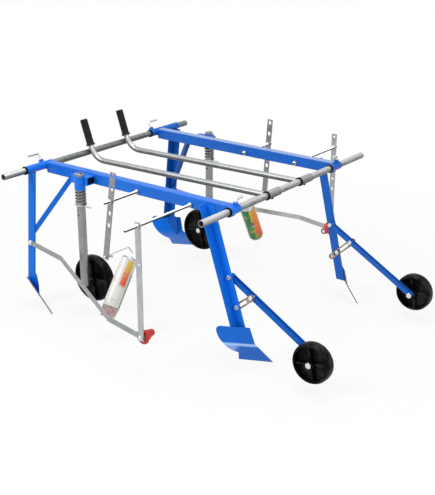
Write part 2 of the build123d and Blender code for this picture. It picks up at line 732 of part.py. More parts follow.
def axle_clamp(side, out):
    """Hole at a strap's foot where its wire axle is clamped."""
    return Vector(strap_rod_x, out * strap_y[side], rod_z) + strap_frame(side) * strap_below


def roller_strap(side, out):
    """Perforated flat bar on the strap rod."""
    down = strap_frame(side)
    length = strap_above + strap_below + strap_tail
    y = out * strap_y[side]
    rod = Vector(strap_rod_x, y, rod_z)
    middle = rod + down * ((strap_below + strap_tail - strap_above) / 2)
    face = Plane(origin=middle, x_dir=(cos(radians(strap_lean[side])), 0, -sin(radians(strap_lean[side]))),
                 z_dir=(0, -1, 0))
    steps = [step for step in range(-strap_holes_up, strap_holes_down + 1) if step]
    with BuildPart() as strap:
        with BuildSketch(face):
            RectangleRounded(strap_width, length, bar_end_round)
        extrude(amount=strap_wall / 2, both=True)
        with Locations(tuple(rod)):
            Cylinder(rod_d / 2 + running_fit, 2 * strap_wall, rotation=across, mode=Mode.SUBTRACT)
        with BuildSketch(face):
            offset = (strap_below + strap_tail - strap_above) / 2
            with Locations(*((0, offset - strap_hole_pitch * step) for step in steps)):
                SlotOverall(strap_slot_height, strap_slot_width, rotation=90)
        extrude(amount=strap_wall, both=True, mode=Mode.SUBTRACT)
        with Locations(tuple(axle_clamp(side, out))):
            Cylinder(axle_wire / 2, 2 * strap_wall, rotation=across, mode=Mode.SUBTRACT)
    save(strap.part, f"{side}_roller_strap")


def roller_frame(side, out):
    """Top bend of the wire axle and the unit vector down the roller's axis."""
    tilt = radians(roller_tilt[side])
    level = axle_clamp(side, out) - Vector(0, out * axle_level[side], 0)
    bend = level + Vector(0, -out * axle_fall_in[side], -axle_fall_down[side])
    return level, bend, Vector(0, out * cos(tilt), -sin(tilt))


def roller_axle(side, out):
    """Wire bent from the strap inward, down and back through the roller, with its clamp nuts."""
    clamp = axle_clamp(side, out)
    level, bend, axis = roller_frame(side, out)
    start = clamp + Vector(0, out * (strap_wall / 2 + nut_height), 0)
    end = bend + axis * (roller_stand + roller_length[side] + 2 * nut_height)
    with BuildPart() as axle:
        with BuildLine():
            FilletPolyline(start, level, bend, end, radius=axle_bend)
        with BuildSketch(Plane(origin=start, z_dir=(0, -out, 0))):
            Circle(axle_wire / 2)
        sweep()
        for face, way in ((strap_wall / 2, 1), (-strap_wall / 2, -1)):
            with BuildSketch(facing_side(clamp.X, clamp.Y + out * (face + way * wire_nut_height / 2), clamp.Z)):
                RegularPolygon(wire_nut_width / 2, 6, major_radius=False)
            extrude(amount=wire_nut_height / 2, both=True)
        foot = roller_stand + roller_length[side] - roller_dish + 2 * face_gap
        for reach in (roller_stand - face_gap, foot + wire_nut_height):
            with BuildSketch(Plane(origin=bend + axis * reach, z_dir=-axis)):
                Circle(wire_nut_width / 2)
            extrude(amount=wire_nut_height)
    save(axle.part, f"{side}_roller_axle")


def press_roller(side, out):
    """Can-shaped roller: neck, flat lid, straight body and a tapered foot with a dished bottom."""
    level, bend, axis = roller_frame(side, out)
    top = bend + axis * roller_stand
    profile = Plane(origin=top, x_dir=(1, 0, 0), z_dir=Vector(1, 0, 0).cross(axis))
    bore = axle_wire / 2 + running_fit
    body = roller_d / 2
    neck = roller_neck_d / 2
    shoulder = roller_neck + roller_shoulder
    length = roller_length[side]
    rim = body - roller_foot_set
    dish_edge = rim - roller_rim
    dish_radius = (dish_edge ** 2 + roller_dish ** 2) / (2 * roller_dish)
    inner = body - roller_wall
    with BuildPart() as roller:
        with BuildSketch(profile):
            with BuildLine():
                Polyline((dish_edge, length), (rim, length), (body, length - roller_foot[side]), (body, shoulder),
                         (body - roller_lid_set, roller_neck), (neck, roller_neck), (neck, 0), (bore, 0),
                         (bore, length - roller_dish))
                RadiusArc((bore, length - roller_dish), (dish_edge, length), -dish_radius)
            make_face()
            with BuildLine():
                Polyline((0, length - roller_foot[side] - roller_wall), (0, shoulder), (inner, shoulder),
                         (inner, length - roller_foot[side] - roller_wall), close=True)
            make_face(mode=Mode.SUBTRACT)
        revolve(axis=Axis(tuple(top), tuple(axis)))
    save(roller.part, f"{side}_roller")


def strut(side, out):
    y = out * strut_half_spread
    with BuildPart() as tube:
        with Locations((strut_x, y, (strut_top + strut_bottom) / 2)):
            Cylinder(strut_od / 2, strut_top - strut_bottom)
            Cylinder(strut_od / 2 - strut_wall, strut_top - strut_bottom, mode=Mode.SUBTRACT)
        with Locations((strut_x, y, stop_bolt_z)):
            Cylinder(stop_bolt_d / 2, 2 * strut_od, rotation=(0, 90, 0), mode=Mode.SUBTRACT)
        with Locations((strut_x, y, spring_pin_z)):
            Cylinder(spring_pin_d / 2, 2 * strut_od, rotation=(0, 90, 0), mode=Mode.SUBTRACT)
        with Locations((strut_x, y, tube_height - adjust_hole_drop)):
            Cylinder(adjust_hole_d / 2, 2 * strut_od, rotation=across, mode=Mode.SUBTRACT)
        with Locations((strut_x, y, rear_wheel_z[side])):
            Cylinder(axle_d / 2, 2 * strut_od, rotation=across, mode=Mode.SUBTRACT)
    save(tube.part, f"{side}_strut")


def strut_bolts(side, out):
    """Stop bolt, spring pin with its seat, and the press wheel's axle bolt."""
    y = out * strut_half_spread
    axle_end = rear_wheel_half_spread - hub_half_width
    strut_inner = strut_half_spread - strut_od / 2
    axle_out = strut_half_spread + strut_od / 2
    axle_z = rear_wheel_z[side]
    with BuildPart() as bolts:
        with Locations((strut_x, y, stop_bolt_z)):
            Cylinder(stop_bolt_d / 2, strut_od, rotation=(0, 90, 0))
        for way in (1, -1):
            with Locations((strut_x + way * (strut_od / 2 + stop_bolt_d / 4), y, stop_bolt_z)):
                Cylinder(stop_bolt_head / 2, stop_bolt_d / 2, rotation=(0, 90, 0))
        pin_middle = strut_x + (spring_pin_front - spring_pin_rear) / 2
        with Locations((pin_middle, y, spring_pin_z)):
            Cylinder(spring_pin_d / 2, spring_pin_front + spring_pin_rear, rotation=(0, 90, 0))
        with Locations((strut_x, y, spring_pin_z + spring_pin_d / 2 + spring_seat_wall / 2)):
            Cylinder(spring_mean_d / 2 + spring_wire, spring_seat_wall)
            Cylinder(strut_od / 2, spring_seat_wall, mode=Mode.SUBTRACT)
        with Locations((strut_x, out * (axle_end + axle_out) / 2, axle_z)):
            Cylinder(axle_d / 2, axle_out - axle_end, rotation=across)
        with Locations((strut_x, out * (axle_end - axle_head_height / 2), axle_z)):
            Cylinder(axle_head_d / 2, axle_head_height, rotation=across)
        with Locations((strut_x, out * (axle_out + rivet_height / 2), axle_z)):
            Cylinder(rivet_d / 2, rivet_height, rotation=across)
        with Locations((strut_x, out * (strut_inner - axle_spacer / 2), axle_z)):
            Cylinder(axle_head_d / 2, axle_spacer, rotation=across)
    save(bolts.part, f"{side}_strut_bolts")


def helix_point(turn, y):
    """Point and unit tangent of a spring's axis after a number of turns."""
    angle = 2 * pi * turn
    radius = spring_mean_d / 2
    rise = spring_bottom + spring_pitch * turn
    point = Vector(strut_x + radius * cos(angle), y + radius * sin(angle), rise)
    around = 2 * pi * radius
    return point, Vector(-around * sin(angle), around * cos(angle), spring_pitch).normalized()


def spring(side, out):
    """Compression spring around the strut: one wire on pairs of arcs, a quarter turn each pair."""
    y = out * strut_half_spread
    first, first_way = helix_point(0, y)
    last, last_way = helix_point(spring_turns, y)
    start = first - first_way * spring_wire
    with BuildPart() as coil:
        with BuildLine():
            Line(start, first)
            for quarter in range(round(4 * spring_turns)):
                a, a_way = helix_point(quarter / 4, y)
                b, b_way = helix_point((quarter + 1) / 4, y)
                span = b - a
                pull = span.dot(a_way + b_way)
                bend = 2 * (1 - a_way.dot(b_way))
                reach = (-pull + sqrt(pull ** 2 + bend * span.dot(span))) / bend
                a_lead = a + a_way * reach
                b_lead = b - b_way * reach
                joint = (a_lead + b_lead) * 0.5
                TangentArc(a, joint, tangent=a_way)
                TangentArc(joint, b, tangent=b_lead - a_lead)
            Line(last, last + last_way * spring_wire)
        with BuildSketch(Plane(origin=start, z_dir=first_way)):
            Circle(spring_wire / 2)
        sweep()
    save(coil.part, f"{side}_spring")
    steps = 36
    points = [helix_point(step / steps, y)[0] for step in range(round(steps * spring_turns) + 1)]
    gap = min((p - q).length for i, p in enumerate(points) for q in points[i + steps // 2:]) - spring_wire
    print(f"{side}_spring least gap to itself {gap:.2f} mm")


def wheel(label, centre, diameter, width):
    """Ribbed plastic wheel on the Y axis through its centre."""
    bore = axle_d / 2 + running_fit
    radius = diameter / 2
    half = width / 2
    hub_half = half + wheel_hub_proud
    web_half = wheel_web / 2
    profile = Plane(origin=centre, x_dir=(1, 0, 0), z_dir=(0, 0, 1))
    with BuildPart() as body:
        with BuildSketch(profile):
            with BuildLine():
                Polyline((bore, -hub_half), (wheel_hub_d / 2, -hub_half), (wheel_hub_d / 2, -web_half),
                         (radius - wheel_rim, -web_half), (radius - wheel_rim, -half), (radius, -half),
                         (radius, half), (radius - wheel_rim, half), (radius - wheel_rim, web_half),
                         (wheel_hub_d / 2, web_half), (wheel_hub_d / 2, hub_half), (bore, hub_half),
                         close=True)
            tread = make_face()
            fillet(tread.vertices().group_by(Axis.X)[-1], wheel_shoulder)
        revolve(axis=Axis(centre, (0, 1, 0)))
        rib_length = radius - wheel_rim / 2 - wheel_hub_d / 2
        rib_middle = wheel_hub_d / 2 + rib_length / 2
        for step in range(wheel_ribs):
            turn = wheel_rib_turn + 360 / wheel_ribs * step
            with Locations(Location(centre, (0, turn, 0)) * Location((rib_middle, 0, 0))):
                Box(rib_length, width - 2 * wheel_rib_set, wheel_rib)
    save(body.part, label)


def wheel_arm(side, out):
    """Square tube from the front leg's bolt to the gauge wheel."""
    pivot, way, length = arm_frame(side)
    middle = Vector(0, out * arm_mid, 0) + pivot + way * (length / 2)
    tilt = degrees(atan2(-way.Z, way.X))
    link_bolt = pivot + way * link_arm_reach
    holes = ((pivot, bolt_d / 2 + running_fit), (link_bolt, bolt_d / 2), (pivot + way * length, axle_d / 2))
    with BuildPart() as arm:
        with BuildSketch(Plane(origin=middle, x_dir=way, z_dir=(0, -1, 0))):
            SlotCenterToCenter(length, arm_size)
        extrude(amount=arm_size / 2, both=True)
        with Locations(Location(tuple(middle), (0, tilt, 0))):
            Box(length - arm_size, arm_size - 2 * arm_wall, arm_size, mode=Mode.SUBTRACT)
        for spot, radius in holes:
            with Locations((spot.X, out * arm_mid, spot.Z)):
                Cylinder(radius, 2 * arm_size, rotation=across, mode=Mode.SUBTRACT)
    save(arm.part, f"{side}_wheel_arm")


def front_axle(side, out):
    """Gauge wheel's axle bolt and the link's bolt."""
    pivot, way, length = arm_frame(side)
    hub = front_wheel_half_spread + front_wheel_width / 2 + wheel_hub_proud + face_gap
    link_bolt = pivot + way * link_arm_reach
    link_outer = arm_outer + face_gap + link_wall + face_gap
    spots = ((front_wheel_x, front_wheel_z, hub, axle_d, axle_head_d, axle_head_height),
             (link_bolt.X, link_bolt.Z, link_outer, bolt_d, bolt_head, bolt_head_height))
    arm_inner = arm_outer - arm_size
    with BuildPart() as axle:
        for x, z, outer, shank, head, height in spots:
            with Locations((x, out * (arm_inner + outer) / 2, z)):
                Cylinder(shank / 2, outer - arm_inner, rotation=across)
            for face, way_out in ((outer, 1), (arm_inner, -1)):
                with BuildSketch(facing_side(x, out * (face + way_out * height / 2), z)):
                    RegularPolygon(head / 2, 6, major_radius=False)
                extrude(amount=height / 2, both=True)
    save(axle.part, f"{side}_front_axle")


def link_points(side):
    """The link's bolt on the arm and its clamp bolt on the leg, in X and Z."""
    pivot, way, length = arm_frame(side)
    clamp_z = link_leg_z[side]
    return pivot + way * link_arm_reach, Vector(gauge_x(side, clamp_z), 0, clamp_z)


def slotted_link(side, out):
    """Slotted plate between the leg and the arm that sets the wheel's height."""
    arm_bolt, leg_bolt = link_points(side)
    way = (leg_bolt - arm_bolt).normalized()
    y = out * (arm_outer + face_gap + link_wall / 2)
    face = Plane(origin=Vector(0, y, 0) + arm_bolt, x_dir=way, z_dir=(0, -1, 0))
    slot_end = link_slot_end[side]
    eye = link_eye[side]
    with BuildPart() as link:
        with BuildSketch(face):
            with Locations((eye / 2, 0)):
                SlotCenterToCenter(eye, link_width)
            Circle(bolt_d / 2 + running_fit, mode=Mode.SUBTRACT)
            with Locations(((link_slot_start + slot_end) / 2, 0)):
                SlotOverall(slot_end - link_slot_start, bolt_d + 2 * slot_play, mode=Mode.SUBTRACT)
            with Locations((eye, 0)):
                Circle(link_eye_d / 2, mode=Mode.SUBTRACT)
        extrude(amount=link_wall / 2, both=True)
    save(link.part, f"{side}_link")


def handle_path(out):
    """Points of a handle's axis: hinge, bend start, bend end, tube end, and the grip's direction."""
    fall = radians(handle_fall)
    rake = radians(handle_rake)
    back = Vector(-cos(fall), 0, -sin(fall))
    upward = Vector(-sin(fall), 0, cos(fall))
    hinge = Vector(front_x, out * handle_half_spread, tube_height - handle_drop)
    rest = Vector(rear_x, out * handle_half_spread, tube_height)
    stand = handle_bend + handle_od / 2 + tube_od / 2 + face_gap
    lead = hinge + upward * handle_bend - rest
    reach = -lead.dot(back)
    run = reach - sqrt(reach ** 2 - lead.dot(lead) + stand ** 2)
    bend_start = hinge + back * run
    centre = bend_start + upward * handle_bend
    grip_way = Vector(-cos(rake), 0, sin(rake))
    bend_end = centre - Vector(-sin(rake), 0, -cos(rake)) * -handle_bend
    return hinge, bend_start, bend_end, grip_way, back


def handle(side, out):
    """Bent tube welded to a hinge sleeve on the front cross tube."""
    hinge, bend_start, bend_end, grip_way, back = handle_path(out)
    end = bend_end + grip_way * (handle_neck + grip_length - grip_cap)
    with BuildPart() as sleeve:
        with Locations((front_x, hinge.Y, tube_height)):
            Cylinder(sleeve_od / 2, hinge_sleeve_length, rotation=across)
            Cylinder(tube_od / 2 + running_fit, hinge_sleeve_length, rotation=across, mode=Mode.SUBTRACT)
    with BuildPart() as tube:
        with BuildLine():
            Line(hinge, bend_start)
            TangentArc(bend_start, bend_end, tangent=back)
            Line(bend_end, end)
        with BuildSketch(Plane(origin=hinge, z_dir=back)):
            Circle(handle_od / 2)
            Circle(handle_od / 2 - handle_wall, mode=Mode.SUBTRACT)
        sweep()
        with Locations((front_x, hinge.Y, tube_height)):
            Cylinder(sleeve_od / 2, hinge_sleeve_length, rotation=across, mode=Mode.SUBTRACT)
    save(Compound([tube.part.solids().sort_by(Axis.X)[0], sleeve.part.solid()]), f"{side}_handle")


def grip(side, out):
    """Rubber grip over the end of a handle, with a collar at its foot."""
    hinge, bend_start, bend_end, grip_way, back = handle_path(out)
    foot = bend_end + grip_way * handle_neck
    with BuildPart() as rubber:
        with BuildSketch(Plane(origin=foot, z_dir=grip_way)):
            Circle(grip_d / 2)
        extrude(amount=grip_length)
        fillet(rubber.faces().sort_by(Axis.Z)[-1].edges(), grip_cap)
        with BuildSketch(Plane(origin=foot, z_dir=grip_way)):
            Circle(grip_collar_d / 2)
        extrude(amount=grip_collar)
        with BuildSketch(Plane(origin=foot, z_dir=grip_way)):
            Circle(handle_od / 2)
        extrude(amount=grip_length - grip_cap, mode=Mode.SUBTRACT)
    save(rubber.part, f"{side}_grip")


cross_tube("front_tube", front_x, front_tube_shift, front_tube_length)
cross_tube("rear_tube", rear_x, rear_tube_shift, rear_tube_length)
for side, out in sides.items():
    side_rail(side, out)
    side_sleeves(side, out)
    lock_screw(side, "front")
    lock_screw(side, "rear")
    front_leg(side, out)
    front_plough(side, out)
    rear_leg(side, out)
    rear_plough(side, out)
    rear_brace(side, out)
    strut_bracket(side, out)
    rods(side, out)
    hanger(side, out)
    film_arm(side, out)
    cone_plug(side, out)
    fasteners(side, out)
    roller_strap(side, out)
    roller_axle(side, out)
    press_roller(side, out)
    strut(side, out)
    strut_bolts(side, out)
    spring(side, out)
    wheel(f"{side}_rear_wheel", (strut_x, out * rear_wheel_half_spread, rear_wheel_z[side]),
          rear_wheel_d, rear_wheel_width)
    wheel(f"{side}_front_wheel", (front_wheel_x, out * front_wheel_half_spread, front_wheel_z),
          front_wheel_d, front_wheel_width)
    wheel_arm(side, out)
    front_axle(side, out)
    slotted_link(side, out)
    handle(side, out)
    grip(side, out)
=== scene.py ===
"""Finish and fine shape of a mulch film layer, built around its solids.

Every piece is in metres in the frame of the solids: X forward, Y to the left, Z up, ground at Z = 0.
"""

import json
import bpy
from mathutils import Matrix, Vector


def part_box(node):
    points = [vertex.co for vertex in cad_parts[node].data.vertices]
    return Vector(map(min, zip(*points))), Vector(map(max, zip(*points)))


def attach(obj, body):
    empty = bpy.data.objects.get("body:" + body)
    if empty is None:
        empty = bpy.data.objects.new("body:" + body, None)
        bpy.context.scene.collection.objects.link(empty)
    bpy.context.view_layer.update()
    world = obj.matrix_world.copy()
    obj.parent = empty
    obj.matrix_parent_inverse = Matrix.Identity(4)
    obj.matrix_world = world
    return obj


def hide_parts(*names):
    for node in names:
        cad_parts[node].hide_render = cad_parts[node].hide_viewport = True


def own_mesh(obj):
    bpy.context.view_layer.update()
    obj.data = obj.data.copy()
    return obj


bl_info = {
    "name": "Mulch film layer",
    "version": (1, 0, 0),
    "blender": (4, 5, 0),
    "location": "View3D > Sidebar > Film layer",
    "description": "Wheels, rollers, rods, grips, hardware and finishes of a mulch film layer",
    "category": "Object",
}

from math import cos, pi, radians, sin

import bmesh
import bpy
import numpy as np

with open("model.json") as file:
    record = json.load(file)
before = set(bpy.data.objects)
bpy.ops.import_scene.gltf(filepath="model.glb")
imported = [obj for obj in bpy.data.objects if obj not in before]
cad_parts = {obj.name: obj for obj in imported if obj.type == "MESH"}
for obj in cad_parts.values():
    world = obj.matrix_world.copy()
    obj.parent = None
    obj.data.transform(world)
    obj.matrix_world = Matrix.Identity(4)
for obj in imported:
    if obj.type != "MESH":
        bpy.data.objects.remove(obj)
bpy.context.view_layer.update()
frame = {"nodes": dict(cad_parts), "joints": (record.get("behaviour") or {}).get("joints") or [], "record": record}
SIDES = {"right": -1, "left": 1}
JOINTS = {joint["name"]: joint for joint in frame["joints"]}
X, Y, Z = np.eye(3)
MM = 0.001
# A point this close to a plane lies on it
ON_FACE = 0.2 * MM
# Outer radius of a handle's hinge: its sleeve and the ring beside it lie this close to the tube's axis
HINGE_REACH = 18.5 * MM
# Specular level of sound paint, and the darker tone of the paint on the left side: painted shade for the side away
# from the key lamp
GLOSS = 0.22
SHADED_SIDE_TONE = 0.8
# Inks of the can prints
WHITE, GREEN, LEAF = (0.76, 0.76, 0.72), (0.012, 0.17, 0.035), (0.10, 0.36, 0.05)
YELLOW, ORANGE, RED = (0.84, 0.52, 0.015), (0.84, 0.20, 0.012), (0.76, 0.05, 0.010)
CREAM, MINT, PINK = (0.74, 0.68, 0.50), (0.47, 0.60, 0.48), (0.66, 0.36, 0.33)
AMBER, PLUM, SEA, DARK = (0.78, 0.38, 0.03), (0.20, 0.06, 0.12), (0.05, 0.26, 0.30), (0.008, 0.07, 0.02)


class LayerSizes(bpy.types.PropertyGroup):
    """Fine sizes that the solids leave plain."""
    thread_pitch: bpy.props.FloatProperty(
        name="Thread pitch", description="Rise of the rods' thread in one turn",
        default=0.00175, unit="LENGTH")
    thread_depth: bpy.props.FloatProperty(
        name="Thread depth", description="Depth of the rods' thread", default=0.0009, unit="LENGTH")
    weld_radius: bpy.props.FloatProperty(
        name="Weld bead", description="Radius of a weld bead", default=0.0026, unit="LENGTH")
    grip_flutes: bpy.props.IntProperty(
        name="Grip flutes", description="Flutes around a rubber grip", default=18)
    flute_depth: bpy.props.FloatProperty(
        name="Flute depth", description="Depth of a flute in a grip", default=0.0009, unit="LENGTH")
    edge_round: bpy.props.FloatProperty(
        name="Edge round", description="Rounding of cut and rolled steel edges",
        default=0.0018, unit="LENGTH")
    grip_rake: bpy.props.FloatProperty(
        name="Grip rake", description="Rise of the grips from level", default=radians(71), subtype="ANGLE")


class LayerColours(bpy.types.PropertyGroup):
    """Base colours of the finishes."""
    blue: bpy.props.FloatVectorProperty(
        name="Blue enamel", description="Paint of the frame", subtype="COLOR", default=(0.004, 0.150, 0.68))
    galvanised: bpy.props.FloatVectorProperty(
        name="Galvanised steel", description="Tubes and flat bars",
        subtype="COLOR", default=(0.40, 0.42, 0.42))
    zinc: bpy.props.FloatVectorProperty(
        name="Zinc plate", description="Bolts, nuts and rods", subtype="COLOR", default=(0.66, 0.67, 0.68))
    yellow_zinc: bpy.props.FloatVectorProperty(
        name="Yellow zinc", description="Slotted links", subtype="COLOR", default=(0.29, 0.25, 0.195))
    plastic: bpy.props.FloatVectorProperty(
        name="Black plastic", description="Wheels and bushes",
        subtype="COLOR", default=(0.0020, 0.0020, 0.0022))
    rubber: bpy.props.FloatVectorProperty(
        name="Rubber", description="Grips", subtype="COLOR", default=(0.0042, 0.0042, 0.0046))
    red: bpy.props.FloatVectorProperty(
        name="Red plastic", description="Cone plugs", subtype="COLOR", default=(0.62, 0.010, 0.007))


class Wire:
    """A number that runs through a shader: arithmetic on it adds Math nodes."""

    def __init__(self, shading, socket):
        self.shading = shading
        self.socket = socket

    def math(self, operation, first, second=0.0):
        """Result of a Math node for two numbers or wires."""
        return self.shading.node("Math", {"operation": operation}, {0: first, 1: second})

    def __add__(self, other):
        return self.math("ADD", self, other)

    def __sub__(self, other):
        return self.math("SUBTRACT", self, other)

    def __rsub__(self, other):
        return self.math("SUBTRACT", other, self)

    def __mul__(self, other):
        return self.math("MULTIPLY", self, other)

    def __truediv__(self, other):
        return self.math("DIVIDE", self, other)

    __radd__ = __add__
    __rmul__ = __mul__

    def size(self):
        """The number without its sign."""
        return self.math("ABSOLUTE", self)

    def within(self):
        """The number held between 0 and 1."""
        return self.math("MINIMUM", self.math("MAXIMUM", self, 0.0), 1.0)

    def ramp(self, low, high):
        """0 at low, 1 at high and a straight line between them."""
        return ((self - low) / (high - low)).within()

    def band(self, low, full, fading, high):
        """1 from full to fading, 0 below low and above high, and straight lines between them."""
        return self.ramp(low, full) * (1 - self.ramp(fading, high))


class Shading:
    """A node tree and the one way in which nodes are added to it."""

    def __init__(self, tree):
        self.tree = tree

    def node(self, kind, settings=None, values=None, output=0):
        """Adds a node, sets it up, fills its sockets and returns one output."""
        node = self.tree.nodes.new("ShaderNode" + kind)
        for name, value in (settings or {}).items():
            setattr(node, name, value)
        for name, value in (values or {}).items():
            self.fill(node.inputs[name], value)
        return Wire(self, node.outputs[output])

    def fill(self, slot, value):
        """Links a wire to a socket or sets the socket's value, with full alpha for a colour."""
        if isinstance(value, Wire):
            self.tree.links.new(value.socket, slot)
        elif slot.type == "RGBA":
            slot.default_value = (*value, 1.0)
        else:
            slot.default_value = value

    def seen(self):
        """1 for rays from the camera and for mirrored or refracted ones, 0 for the rest."""
        camera, mirrored, refracted = (
            self.node("LightPath", output=f"Is {ray} Ray") for ray in ("Camera", "Glossy", "Transmission"))
        return (camera + mirrored + refracted).within()


class Finish(Shading):
    """One procedural material and the nodes that its surface is made of."""

    def __init__(self, name):
        self.material = bpy.data.materials.new(name)
        self.material.use_nodes = True
        super().__init__(self.material.node_tree)
        self.shader = self.tree.nodes["Principled BSDF"]

    def set(self, **sockets):
        """Fills sockets of the surface: base_color is Base Color, specular is Specular IOR Level."""
        for name, value in sockets.items():
            label = "Specular IOR Level" if name == "specular" else name.replace("_", " ").title()
            self.fill(self.shader.inputs[label], value)
        return self.material

    def place(self, scale=(1, 1, 1), turn=(0, 0, 0)):
        """Object coordinates, scaled and turned."""
        coordinates = self.node("TexCoord", output="Object")
        return self.node("Mapping", values={"Vector": coordinates, "Scale": scale, "Rotation": turn})

    def noise(self, scale, detail=2.0, roughness=0.5, vector=None):
        """Soft noise about one half."""
        return self.node("TexNoise", values={
            "Vector": vector or self.place(), "Scale": scale, "Detail": detail, "Roughness": roughness})

    def cells(self, scale, vector=None):
        """A random grey for each cell of a Voronoi pattern."""
        colour = self.node("TexVoronoi", values={
            "Vector": vector or self.place(), "Scale": scale}, output="Color")
        return self.node("SeparateColor", values={"Color": colour})

    def axis(self, which, vector=None):
        """One coordinate of a vector."""
        return self.node("SeparateXYZ", values={"Vector": vector or self.place()}, output=which)

    def look(self, which):
        """How far the surface looks along one axis."""
        return self.axis(which, self.node("TexCoord", output="Normal"))

    def uplook(self, up=1.0, aside=0.0, fore=0.0):
        """How far the surface looks up, with shares of how far it looks to either side, and fore or aft."""
        look = self.look("Z") * up
        if aside:
            look = look + self.look("Y").size() * aside
        if fore:
            look = look + self.look("X").size() * fore
        return look

    def around(self, which):
        """One coordinate of the piece's own map."""
        return self.axis(which, self.node("UVMap", {"uv_map": "around"}))

    def dot(self, vector, direction):
        """Length of a vector along a direction."""
        return self.node("VectorMath", {"operation": "DOT_PRODUCT"}, {0: vector, 1: direction}, output=1)

    def mix(self, first, second, share):
        """Colour between two colours."""
        return self.node("Mix", {"data_type": "RGBA"}, {6: first, 7: second, 0: share}, output=2)

    def bump(self, height, strength, distance, edge=0.0):
        """Fine relief, over edges that are rounded where edge gives a radius."""
        values = {"Height": height, "Strength": strength, "Distance": distance}
        if edge:
            values["Normal"] = self.node("Bevel", {"samples": 4}, {"Radius": edge})
        return self.node("Bump", values=values)


def shade(colour, factor):
    """A colour with every channel multiplied."""
    return tuple(channel * factor for channel in colour)


def colour_of(name, tone=1.0):
    """One of the scene's base colours, made darker or lighter."""
    return shade(getattr(bpy.context.scene.layer_colours, name), tone)


def blue_coat(finish, tone=1.0):
    """Colour, roughness and relief of the blue paint: patches, scuffs and painted shade underneath."""
    blue = colour_of("blue", tone)
    scuffed = (0.05, 0.19, 0.56)
    patches = finish.noise(7.0, 3.0)
    peel = finish.noise(380.0, 1.0)
    scuffs = finish.noise(46.0, 6.0, 0.7).ramp(0.66, 0.74)
    colour = finish.mix(shade(blue, 0.86), shade(blue, 1.10), patches)
    colour = finish.mix(colour, scuffed, scuffs * 0.3)
    # Painted shade: the paint turns deep blue on faces that look down
    painted_underside_shade = 1 - finish.uplook().ramp(-0.75, 0.0)
    colour = finish.mix(colour, shade(blue, 0.45), painted_underside_shade * 0.8)
    return colour, 0.30 + patches * 0.12 + scuffs * 0.2, peel + scuffs * 0.4


def enamelled(finish, colour, roughness, relief, gloss=GLOSS, metallic=0.0):
    """A finish of paint: orange peel over rounded edges, under a thin clear coat."""
    peel_depth, coat_share = 0.0006, 0.27
    edge = bpy.context.scene.layer_sizes.edge_round
    return finish.set(
        base_color=colour, roughness=roughness, metallic=metallic,
        normal=finish.bump(relief, 0.10, peel_depth, edge),
        coat_weight=gloss * coat_share, coat_roughness=0.14, specular=gloss)


def blue_enamel(name="blue_enamel", tone=1.0, gloss=GLOSS):
    """Gloss paint with a slight orange peel, with painted shade underneath, and dulled in patches."""
    finish = Finish(name)
    return enamelled(finish, *blue_coat(finish, tone), gloss)


def faded_enamel():
    """Gloss paint in the darker left-side tone of painted shade, with a pale painted sheen on top."""
    finish = Finish("faded_enamel")
    painted_top_sheen = (0.40, 0.48, 0.60)
    colour, roughness, relief = blue_coat(finish, SHADED_SIDE_TONE)
    # The pale top is a painted highlight where the surface looks up, in noisy patches
    share = finish.uplook().ramp(0.6, 0.9) * (0.4 + finish.noise(18.0, 4.0) * 0.35)
    return enamelled(finish, finish.mix(colour, painted_top_sheen, share), roughness, relief)


def dark_grey_aside(finish, colour, way):
    """The colour, turned to dark mottled grey on the faces of a plate that look to the left where way is 1
    and to the right where it is -1."""
    steel = finish.mix((0.07, 0.068, 0.065), (0.17, 0.165, 0.16), finish.noise(38.0, 5.0, 0.65))
    return finish.mix(colour, steel, (finish.look("Y") * way).ramp(0.2, 0.5) * 0.9)


def folded_enamel(name, along, below, fold, back):
    """Plough paint with a painted highlight along the fold and on the wing under it, scraped bare at the foot and
    turned dark grey on the back; along and below are directions on the share, from a point on the fold."""
    finish = Finish(name)
    share_blue, wing_highlight_blue, fold_highlight_blue = (0.03, 0.13, 0.48), (0.30, 0.42, 0.92), (0.42, 0.62, 0.98)
    foot_steel = (0.17, 0.18, 0.20)
    colour, roughness, relief = blue_coat(finish)
    place = finish.place()
    ragged = (finish.noise(90.0, 4.0) - 0.5) * 0.004
    reach = finish.dot(place, along) - float(fold @ along)
    depth = finish.dot(place, below) - float(fold @ below) + ragged
    # Painted highlights: band runs along the fold, and the wing mask covers the wing under it
    band = depth.band(-0.003, 0.001, 0.006, 0.011)
    wing_highlight_share = depth.ramp(-0.002, 0.002) * (1 - (reach + depth * 0.5).ramp(0.000, 0.022))
    bare = 1 - (finish.axis("Z") + ragged * 2).ramp(0.022, 0.034)
    colour = finish.mix(colour, share_blue, depth.ramp(0.008, 0.014) * 0.75)
    colour = finish.mix(colour, wing_highlight_blue, wing_highlight_share * 0.85)
    colour = finish.mix(colour, fold_highlight_blue, band * 0.9)
    colour = finish.mix(colour, foot_steel, bare * 0.7)
    colour = dark_grey_aside(finish, colour, back)
    return enamelled(finish, colour, roughness, relief, metallic=bare * 0.5)


def worn_enamel(name, wear, gloss, back):
    """Rear plough paint, ground off to bare grey steel over the cutting edge, and turned dark grey on the back."""
    finish = Finish(name)
    colour, roughness, relief = blue_coat(finish)
    height = finish.axis("Z") + (finish.noise(70.0, 5.0, 0.65) - 0.5) * 0.03
    bare = 1 - height.ramp(0.028, 0.062)
    steel = finish.mix((0.16, 0.17, 0.18), (0.34, 0.35, 0.36), finish.noise(120.0, 4.0))
    colour = dark_grey_aside(finish, finish.mix(colour, steel, bare * wear), back)
    return enamelled(finish, colour, roughness + bare * 0.12, relief, gloss, bare * wear * 0.8)


